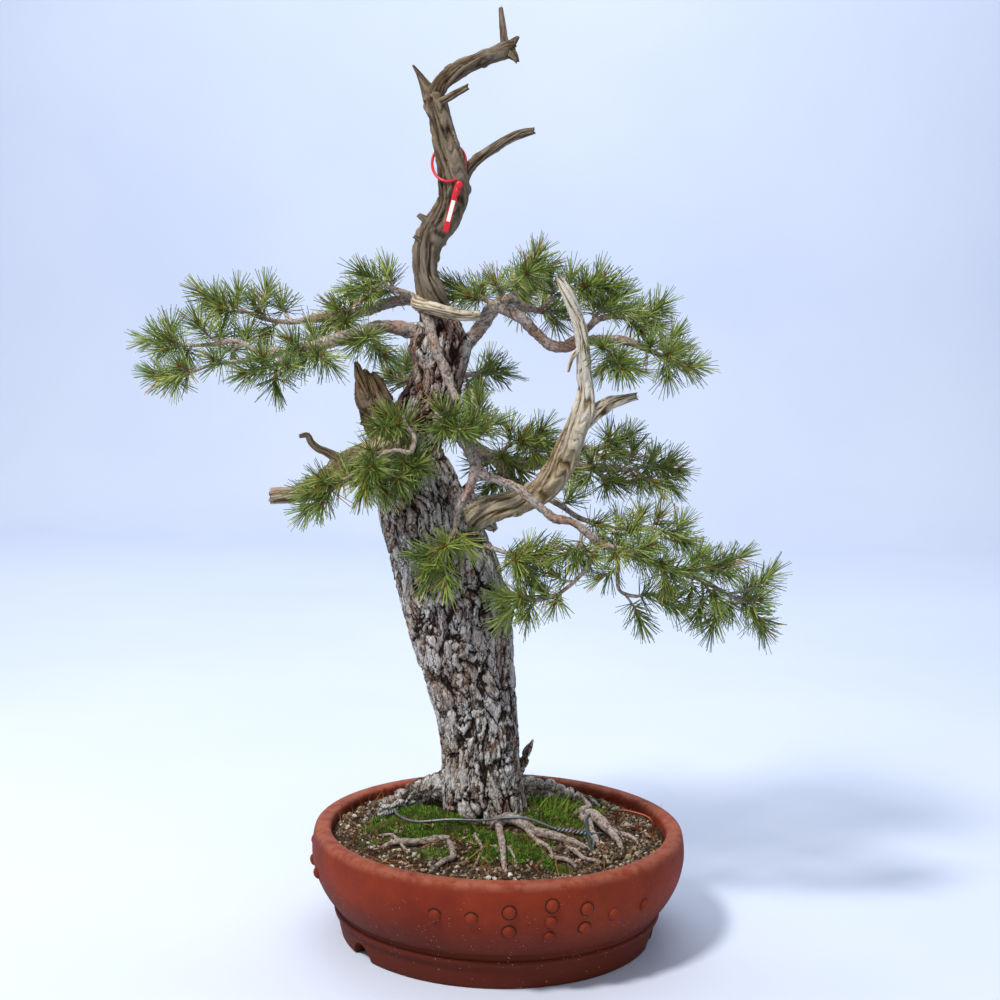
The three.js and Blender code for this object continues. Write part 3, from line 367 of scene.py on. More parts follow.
def needle_finish():
    look = Finish("pine_needles")
    body = look.ramp(look.value("tint"), (0.0, "3f4f1e"), (0.3, "60732f"), (0.65, "869b3e"), (0.92, "b5bf63"),
                     (0.96, "a58b45"), (1.0, "a05e2a"))
    body = look.mix(look.noise(8, 2).between(0.4, 0.65) * 0.3, body, tone("587540"))
    return look.done(colour=body, roughness=0.45, gloss=0.5)


def bud_finish():
    look = Finish("brown_buds")
    body = look.ramp(look.noise(600, 3), (0.35, "5a2f18"), (0.65, "9a5a34"))
    return look.done(colour=body, roughness=0.7, gloss=0.3)


def wire_finish(name, code, worn, roughness, metal):
    look = Finish(name)
    body = look.mix(look.noise(140, 4, 0.7).between(0.48, 0.68), tone(code), tone(worn))
    return look.done(colour=body, roughness=look.noise(260, 3) * 0.2 + roughness, metal=metal,
                     normal=look.bump(look.noise(700, 2), 0.0002))


def plastic_finish(name, code, shade, roughness):
    look = Finish(name)
    body = look.mix(look.noise(120, 3).between(0.45, 0.7) * 0.5, tone(code), tone(shade))
    return look.done(colour=body, roughness=look.noise(200, 2) * 0.15 + roughness,
                     normal=look.bump(look.noise(500, 2), 0.00015))


def studio_finish():
    look = Finish("pale_studio")
    body = look.mix(look.noise(0.9, 3).between(0.3, 0.7), tone("d4ddf0"), tone("dae2f3"))
    return look.done(colour=body, roughness=0.95, gloss=0.1)


# Shapes: lines, random patterns and closed tubes

def new_object(name, data):
    made = bpy.data.objects.new(name, data)
    bpy.context.scene.collection.objects.link(made)
    return made


def form_mesh(name, form):
    """Turns a bmesh into a mesh and frees it"""
    mesh = bpy.data.meshes.new(name)
    form.to_mesh(mesh)
    form.free()
    return mesh


def flow(points, steps):
    """Even steps along a smooth line through given points [x, y, z, ...]"""
    knots = np.array(points, float)
    chain = [2 * knots[0] - knots[1], *knots, 2 * knots[-1] - knots[-2]]
    share = np.linspace(0, 1, 24, endpoint=False)[:, None]
    spans = []
    for a, b, c, d in zip(chain, chain[1:], chain[2:], chain[3:]):
        ab, bc, cd = (max(math.dist(p[:3], q[:3]), 1e-6) ** 0.5 for p, q in ((a, b), (b, c), (c, d)))
        leave = ((b - a) / ab - (c - a) / (ab + bc) + (c - b) / bc) * bc
        arrive = ((c - b) / bc - (d - b) / (bc + cd) + (d - c) / cd) * bc
        spans.append(b + leave * share + (3 * (c - b) - 2 * leave - arrive) * share ** 2
                     + (2 * (b - c) + leave + arrive) * share ** 3)
    line = np.vstack([*spans, knots[-1:]])
    run = run_along(line)
    even = np.linspace(0, run[-1], steps + 1)
    return np.stack([np.interp(even, run, line[:, k]) for k in range(line.shape[1])], axis=1)


def run_along(line):
    """How far along a line each of its points lies"""
    gaps = np.linalg.norm(np.diff(line[:, :3], axis=0), axis=1)
    return np.concatenate([[0.0], np.cumsum(gaps)])


def side_frames(line, lead=(0, -1, 0.05)):
    """The direction of travel and two side directions at each step, with as little twist as can be"""
    travel = np.gradient(line[:, :3], axis=0)
    travel /= np.linalg.norm(travel, axis=1)[:, None]
    side = np.array(lead, float)
    if abs(side @ travel[0]) > 0.9 * np.linalg.norm(side):
        side = np.array([0.0, 0.1, 1.0])
    sides = []
    for ahead in travel:
        side = side - ahead * (side @ ahead)
        side = side / np.linalg.norm(side)
        sides.append(side)
    sides = np.array(sides)
    return travel, sides, np.cross(travel, sides)


def scramble(cell, seed):
    """A steady random number from 0 to 1 for each whole-numbered cell"""
    whole = 0x7FFFFFFF
    mixed = cell[..., 0] * 73856093 ^ cell[..., 1] * 19349663 ^ cell[..., 2] * 83492791 ^ seed * 40503
    mixed = (mixed & whole) * 1103515245 & whole
    mixed = (mixed ^ mixed >> 15) * 12345677 & whole
    return (mixed >> 7 & 0xFFFF) / 65535.0


def cloud(spots, seed):
    """Smooth random heights from 0 to 1"""
    cell = np.floor(spots).astype(np.int64)
    part = spots - cell
    part = part * part * (3 - 2 * part)
    total = 0.0
    for corner in product((0, 1), repeat=3):
        weight = np.prod(np.where(corner, part, 1 - part), axis=-1)
        total = total + weight * scramble(cell + np.array(corner), seed)
    return total


def plates(spots, seed):
    """Cells round scattered middles: how far inside its own cell each spot lies, and its cell's number"""
    cell = np.floor(spots).astype(np.int64)
    near = np.full(spots.shape[:-1], 9.0)
    second = near.copy()
    own = np.zeros_like(near)
    for shift in product((-1, 0, 1), repeat=3):
        other = cell + np.array(shift)
        middle = other + np.stack([scramble(other, seed + k) for k in range(3)], axis=-1)
        gap = np.linalg.norm(middle - spots, axis=-1)
        closer = gap < near
        second = np.where(closer, near, np.minimum(second, gap))
        own = np.where(closer, scramble(other, seed + 7), own)
        near = np.minimum(near, gap)
    return second - near, own


def rise(value, low, high):
    """0 at low, 1 at high and a smooth rise from one to the other"""
    share = np.clip((value - low) / (high - low), 0, 1)
    return share * share * (3 - 2 * share)


def wrapped(turn, run, radius, across, along):
    """Places on a limb's surface for a pattern, in cells of the two sizes"""
    return np.stack([np.cos(turn) * radius / across, np.sin(turn) * radius / across,
                     run / along + 0 * turn], axis=-1)


class Stock:
    """Gathers closed bodies, in millimetres, into one mesh with named values at its corners"""

    def __init__(self):
        self.spots = []
        self.faces = []
        self.looks = []
        self.values = []
        self.count = 0

    def add(self, spots, faces, look=0, **values):
        self.spots.append(spots)
        self.faces += (np.array(faces) + self.count).tolist() if isinstance(faces, np.ndarray) else [
            [corner + self.count for corner in face] for face in faces]
        self.looks += [look] * len(faces)
        self.values.append((self.count, len(spots), values))
        self.count += len(spots)

    def mesh(self, name, finishes=()):
        mesh = bpy.data.meshes.new(name)
        spots = np.vstack(self.spots) * MM + POT_AXIS
        mesh.from_pydata(spots.tolist(), [], self.faces)
        for finish in finishes:
            mesh.materials.append(finish)
        mesh.polygons.foreach_set("material_index", self.looks)
        mesh.polygons.foreach_set("use_smooth", [True] * len(self.faces))
        for key in sorted({key for _, _, values in self.values for key in values}):
            wide = any(np.ndim(values.get(key, 0)) == 2 for _, _, values in self.values)
            whole = np.zeros((self.count, 3) if wide else self.count, np.float32)
            for start, size, values in self.values:
                whole[start:start + size] = values.get(key, 0)
            layer = mesh.attributes.new(key, "FLOAT_VECTOR" if wide else "FLOAT", "POINT")
            layer.data.foreach_set("vector" if wide else "value", whole.ravel())
        mesh.update()
        return mesh

    def place(self, name, finishes, slot, node):
        place(name, self.mesh(name, finishes), slot, node)


def place(name, mesh, slot, node):
    """Puts a finished mesh in the scene as a piece of the pine that stands for this node"""
    piece = new_object(name, mesh)
    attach(piece, "root")
    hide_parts(node)


def ring_quads(grid):
    """Four-sided faces between rings of corners"""
    ahead = np.roll(grid, -1, axis=1)
    return np.stack([grid[:-1], ahead[:-1], ahead[1:], grid[1:]], axis=-1).reshape(-1, 4)


def tube(stock, line, around, swell=None, look=0, jag=0.0, seed=1, lead=(0, -1, 0.05)):
    """A closed tube along a line of [x, y, z, radius]. swell gives how far its surface stands out
    and its named values. jag is how far a torn end is splintered."""
    travel, side, across = side_frames(line, lead)
    turn, run = np.meshgrid(np.linspace(0, 2 * np.pi, around, endpoint=False), run_along(line))
    radius = line[:, 3:4] + 0 * turn
    out, values = swell(turn, run, radius) if swell else (0.0, {})
    reach = np.maximum(radius + out, 0.25)[..., None]
    rim = np.cos(turn)[..., None] * side[:, None] + np.sin(turn)[..., None] * across[:, None]
    spots = line[:, None, :3] + rim * reach
    if jag:
        end = run.max()
        splinter = cloud(wrapped(turn, 0 * run, 1.0, 0.33, 1.0), seed) ** 2 - 0.25
        spots = spots + travel[:, None] * (splinter * jag * rise(run, end - 2.2 * jag, end))[..., None]
    steps = len(line)
    grid = np.arange(steps * around).reshape(steps, around)
    ahead = np.roll(grid, -1, axis=1)
    first, last = steps * around, steps * around + 1
    caps = [[first, b, a] for a, b in zip(grid[0], ahead[0])]
    caps += [[last, a, b] for a, b in zip(grid[-1], ahead[-1])]
    ends = np.stack([spots[0].mean(axis=0), spots[-1].mean(axis=0)])
    flat = {key: np.concatenate([value.reshape(-1, *value.shape[2:]),
                                 value[0].mean(axis=0, keepdims=True) * 0.4,
                                 value[-1].mean(axis=0, keepdims=True) * 0.4])
            for key, value in values.items()}
    stock.add(np.vstack([spots.reshape(-1, 3), ends]), ring_quads(grid).tolist() + caps, look, **flat)


def length_of(points):
    return sum(math.dist(p[:3], q[:3]) for p, q in zip(points, points[1:]))


# The living wood, bark covered: points [x, y, z, radius]
TRUNK = [
    [-14, 26, 70, 50], [-17, 24, 118, 56], [-18, 22, 153, 54], [-23, 22, 186, 52], [-26, 20, 239, 51],
    [-34, 18, 291, 54], [-47, 15, 356, 60], [-55, 12, 395, 65], [-61, 10, 421, 66], [-71, 8, 453, 66],
    [-82, 8, 484, 63], [-94, 8, 512, 60], [-108, 10, 547, 55], [-116, 12, 572, 50], [-122, 14, 596, 45],
    [-121, 16, 621, 40], [-110, 18, 646, 37], [-95, 20, 672, 34], [-86, 20, 697, 32], [-83, 20, 722, 34],
    [-84, 18, 741, 38], [-88, 15, 762, 30], [-91, 14, 774, 25],
]

BRANCHES = [
    [[-99, 18, 757, 12], [-118, 18, 758, 11], [-154, 10, 762, 9.5], [-190, 0, 751, 9],
     [-232, -10, 738, 8], [-268, -20, 729, 7], [-300, -21, 728, 5.5]],
    [[-284, -20, 728, 5], [-297, -26, 722, 4.2], [-312, -33, 718, 3.4]],
    [[-96, 20, 770, 9], [-120, 42, 795, 8], [-151, 50, 792, 7.5], [-199, 50, 776, 6.5],
     [-250, 44, 770, 5.5]],
    [[-112, 36, 788, 6], [-124, 38, 800, 5], [-144, 30, 808, 4]],
    [[-76, 22, 728, 14], [-54, 33, 742, 10], [-30, 30, 775, 9], [-18, 25, 790, 8.5], [0, 15, 784, 7.5],
     [15, 8, 775, 7], [32, 16, 759, 7], [55, 22, 742, 7], [82, 20, 744, 6.5], [104, 10, 751, 6],
     [143, 5, 751, 5.5], [170, 9, 742, 4.5]],
    [[-20, 25, 789, 7], [0, 40, 799, 6], [20, 54, 790, 5.5], [42, 61, 785, 4.5]],
    [[72, 22, 743, 5], [92, 20, 760, 4.8], [110, 24, 776, 4.4], [132, 31, 782, 4]],
    [[-84, 5, 664, 12], [-82, -12, 650, 9.5], [-64, -26, 635, 8], [-48, -33, 618, 7.4],
     [-40, -36, 602, 6.8], [-34, -42, 589, 7.4], [-22, -46, 583, 5.8], [-1, -52, 577, 5.2],
     [17, -57, 569, 5.8], [29, -60, 559, 5.4], [44, -62, 547, 5.2], [60, -62, 536, 6],
     [78, -63, 533, 5.4], [94, -65, 524, 5.6], [112, -65, 509, 5.2],
     [140, -60, 497, 5.2], [178, -50, 484, 5], [225, -41, 468, 4.6]],
    [[-105, -15, 781, 4.5], [-96, -16, 759, 6.5], [-89, -20, 735, 6.5], [-76, -22, 708, 6.5],
     [-69, -27, 689, 5.5], [-61, -36, 673, 4.2]],
    [[-36, -40, 594, 6], [-44, -46, 571, 5.4], [-55, -50, 549, 4.8], [-59, -53, 540, 4.2]],
    [[-156, -84, 604, 1.6], [-146, -92, 612, 2.3], [-132, -95, 617, 2.4], [-115, -95, 615, 2.8],
     [-111, -95, 621, 2.9], [-110, -94, 634, 2.4], [-120, -90, 646, 2.4], [-124, -74, 656, 2]],
    [[-98, 24, 642, 13], [-72, 44, 633, 10], [-28, 48, 604, 9], [11, 50, 593, 8], [43, 55, 594, 7.5],
     [92, 62, 590, 6.5], [118, 66, 587, 6], [146, 72, 586, 4.8]],
    [[66, 58, 592, 5.5], [84, 68, 606, 5], [100, 75, 616, 4]],
    [[-14, 48, 597, 6.5], [5, 36, 575, 6], [30, 28, 561, 5.5], [54, 20, 551, 5]],
    [[-122, -22, 608, 8], [-117, -38, 618, 5.5], [-114, -42, 628, 4]],
    [[-120, -20, 600, 9], [-126, -38, 602, 6.5], [-137, -50, 603, 5]],
    [[-78, 38, 702, 7], [-67, 58, 701, 6], [-52, 78, 702, 4.5]],
    [[-92, 38, 712, 6], [-104, 50, 710, 5], [-122, 62, 702, 4]],
    [[-80, 30, 690, 8], [-86, 70, 686, 7], [-96, 110, 694, 5.5], [-104, 140, 702, 4.5]],
    [[20, 52, 593, 6], [36, 84, 586, 5.5], [52, 116, 588, 4.5]],
    [[-14, 34, 793, 5.5], [-6, 66, 800, 5], [4, 96, 806, 4]],
]

# Bark-covered roots that flare from the foot of the trunk, the collar of bark under the bare arm and the
# dead root that stands up beside the foot
FLARES = [
    [[-44, 14, 182, 24], [-66, 24, 178, 20], [-90, 34, 169, 17], [-112, 40, 159, 15], [-134, 40, 147, 12.5],
     [-158, 36, 131, 9], [-178, 32, 114, 5]],
    [[8, 44, 166, 22], [34, 66, 163, 17], [60, 80, 158, 14], [86, 92, 148, 11], [112, 108, 136, 8],
     [134, 122, 124, 5]],
    [[-62, -2, 556, 22], [-44, -4, 541, 17], [-31, -6, 531, 12.5], [-20, -6, 521, 8.5], [-12, -6, 512, 4]],
    [[2, 28, 172, 13], [18, 25, 193, 8], [28, 22, 208, 6], [34, 18, 225, 5], [41, 14, 242, 1.5]],
]

# Smooth pale roots that run over the soil: points [x, y, height over the soil, radius]
THIN_ROOTS = [
    [[-14, -18, -8, 10], [-2, -34, 2, 7.5], [12, -32, 7, 8], [28, -38, 6, 7.5], [45, -49, 5, 6.5],
     [66, -54, 4, 5.5], [96, -60, 3, 4.5], [118, -70, -4, 3]],
    [[-40, -40, -12, 7], [-60, -62, -5, 5], [-74, -70, 2, 4.8], [-96, -76, 5, 5], [-128, -80, 3.5, 4],
     [-146, -82, -4, 2.5]],
    [[-62, -64, -5, 4], [-56, -99, 4, 4.2], [-54, -119, 4, 3.8], [-64, -132, 3.5, 3.2],
     [-76, -146, 1.5, 2.6], [-86, -154, -4, 1.6]],
    [[0, -38, 4, 5], [2, -70, 5, 4.6], [5, -100, 5, 4.2], [7, -130, 3.5, 3.6], [10, -156, -4, 2]],
    [[34, -42, 4, 4], [44, -66, 3, 3.2], [60, -80, 3.5, 2.8], [66, -98, 2, 2.2], [74, -112, -4, 1.6]],
    [[84, -72, 0, 2.6], [94, -88, 4, 3.4], [104, -102, 4.5, 3], [120, -106, 2, 2.2], [130, -100, -4, 1.4]],
    [[58, -92, -2, 2], [70, -104, 3, 2.8], [86, -112, 3, 2.6], [98, -128, -4, 1.6]],
    [[106, 36, -2, 8], [120, 20, 12, 8.5], [134, 2, 10, 7], [144, -16, 5, 5.2], [150, -34, 2, 3.8],
     [156, -52, -4, 2]],
    [[106, 26, 2, 5], [113, 6, 9, 6], [117, -14, 7, 5], [122, -34, 3, 3.8], [127, -52, -4, 2]],
    [[138, 2, 6, 3.4], [154, -6, 5, 3], [168, -20, 3, 2.4], [180, -40, -4, 1.4]],
    [[98, 30, 4, 4], [110, 44, 9, 4.5], [118, 58, 10, 4], [112, 70, 14, 3], [102, 66, 17, 2]],
    [[10, -92, 1, 2], [18, -118, 2.5, 1.8], [24, -146, -4, 1.2]],
    [[-30, -66, 1, 2.6], [-20, -92, 3, 2.2], [-24, -120, 2.5, 1.8], [-34, -148, -4, 1.2]],
    [[-150, -40, -2, 1.6], [-132, -56, 2.5, 2.2], [-112, -98, 2.5, 2], [-98, -120, -4, 1.2]],
    [[-30, 114, 2, 5], [-58, 140, 2, 4], [-96, 154, -4, 2.4]],
    [[40, 124, 2, 4], [62, 148, 2, 3.2], [92, 160, -4, 2]],
]

# The bare, bleached wood: each limb's points [x, y, z, radius] and how far its end is splintered
DEADWOOD = {
    "deadwood_top": [
        (8, [[-90, 14, 758, 18], [-92, 13, 774, 21], [-96, 12, 790, 18.5], [-100, 10, 808, 17],
             [-105, 8, 826, 15.5], [-106, 6, 844, 16], [-102, 4, 863, 17.5], [-94, 2, 881, 20],
             [-82, 0, 897, 19.5], [-74, -2, 917, 18], [-73, -3, 935, 18.5], [-75, -4, 953, 18.5],
             [-81, -5, 977, 17], [-87, -6, 1000, 15.5], [-93, -8, 1024, 15], [-97, -9, 1039, 13.5],
             [-99, -10, 1052, 8]]),
        (5, [[-101, -10, 1036, 10], [-109, -10, 1054, 6.5], [-116, -11, 1066, 3.5],
             [-122, -12, 1074, 1.2]]),
        (6, [[-98, -10, 1036, 10], [-88, -12, 1054, 11], [-71, -14, 1069, 10.5], [-54, -15, 1078, 10],
             [-39, -14, 1085, 9.5], [-23, -12, 1091, 9.5], [-9, -10, 1097, 10.5], [-1, -9, 1099, 9]]),
        (3, [[-10, -10, 1092, 6], [-14, -10, 1110, 5], [-16, -9, 1125, 4.2], [-19, -8, 1146, 2.6]]),
        (4, [[-93, -14, 1031, 5], [-80, -24, 1036, 4.5], [-68, -30, 1042, 4.5], [-56, -34, 1048, 4]]),
        (4, [[-72, -2, 912, 13], [-62, -1, 942, 9], [-54, 1, 956, 7.5], [-41, 4, 969, 6.8],
             [-24, 8, 981, 6.2], [-7, 10, 992, 5.6], [10, 12, 1000, 5.5], [24, 14, 1004, 4]]),
        (3, [[-96, -2, 886, 8], [-106, -5, 893, 4.6], [-114, -8, 898, 2.6]]),
        (3, [[-104, 0, 862, 7], [-112, -2, 868, 4], [-119, -4, 872, 2.2]]),
        (3, [[-8, -10, 1094, 7], [-2, -14, 1088, 5], [2, -16, 1082, 2.6]]),
        (3, [[-10, -10, 1096, 6.5], [-2, -8, 1107, 4.5], [3, -8, 1112, 2.2]]),
    ],
    "deadwood_arm": [
        (7, [[-72, 4, 520, 21], [-52, -2, 524, 20], [-32, -10, 535, 18], [-7, -14, 544, 17],
             [19, -18, 552, 16], [42, -20, 564, 17], [60, -20, 586, 17.5], [72, -18, 613, 16],
             [83, -16, 640, 15], [92, -14, 663, 15],
             [95, -12, 683, 12], [93, -12, 708, 9.7], [91, -14, 732, 9], [88, -16, 757, 8.5],
             [81, -18, 781, 8], [72, -20, 801, 7.5], [64, -20, 816, 6], [58, -20, 826, 3]]),
        (7, [[88, -15, 646, 12], [101, -10, 657, 11], [112, -6, 664, 9.5], [126, 0, 673, 8],
             [141, 4, 678, 6.5], [158, 8, 682, 5]]),
        (3, [[86, -16, 740, 4], [77, -21, 729, 3.4], [73, -23, 712, 1.6]]),
    ],
    "deadwood_left_limb": [
        (6, [[-112, 8, 594, 30], [-136, 5, 598, 29], [-167, -2, 596, 27], [-196, -10, 587, 21],
             [-222, -18, 571, 15], [-246, -22, 558, 11.5], [-266, -24, 553, 10], [-289, -26, 551, 9.3]]),
        (4, [[-204, -12, 596, 7], [-223, -18, 607, 5], [-233, -20, 611, 5], [-241, -22, 619, 4.5],
             [-245, -24, 627, 4], [-253, -26, 626, 2.5]]),
    ],
    "deadwood_split_stub": [
        (22, [[-118, 12, 604, 27], [-136, 10, 621, 27], [-150, 8, 640, 26], [-162, 8, 662, 24],
              [-171, 8, 682, 20], [-178, 8, 698, 13]]),
        (10, [[-172, 0, 664, 14], [-180, -3, 690, 10], [-187, -6, 714, 3]]),
        (10, [[-162, 2, 656, 15], [-169, -1, 682, 10], [-174, -2, 703, 3]]),
        (10, [[-148, 6, 640, 15], [-154, 8, 664, 10], [-159, 11, 684, 3]]),
    ],
    "deadwood_strap": [
        (5, [[-116, 4, 794, 7], [-112, -12, 790, 8], [-96, -24, 786, 8], [-76, -29, 781, 7.5],
             [-57, -27, 777, 7], [-38, -18, 778, 6]]),
    ],
}

# Each limb's colours: pale ridges, the wood between, dark grooves and streaks of rot. The arm also has the
# heights over which a painted highlight makes its raised wood paler.
WOOD_COLOURS = {
    "deadwood_top": ["877863", "5f4f39", "271c13", "523d28"],
    "deadwood_arm": ["d6c7a6", "9a855f", "3f2d1c", "74512e", (0.6, 0.72)],
    "deadwood_left_limb": ["d0c0a4", "a38d70", "4a3828", "7d6042"],
    "deadwood_split_stub": ["8a7554", "604a33", "27190f", "5c3420"],
    "deadwood_strap": ["ddd2bb", "b0a084", "523f2b", "8f7354"],
}

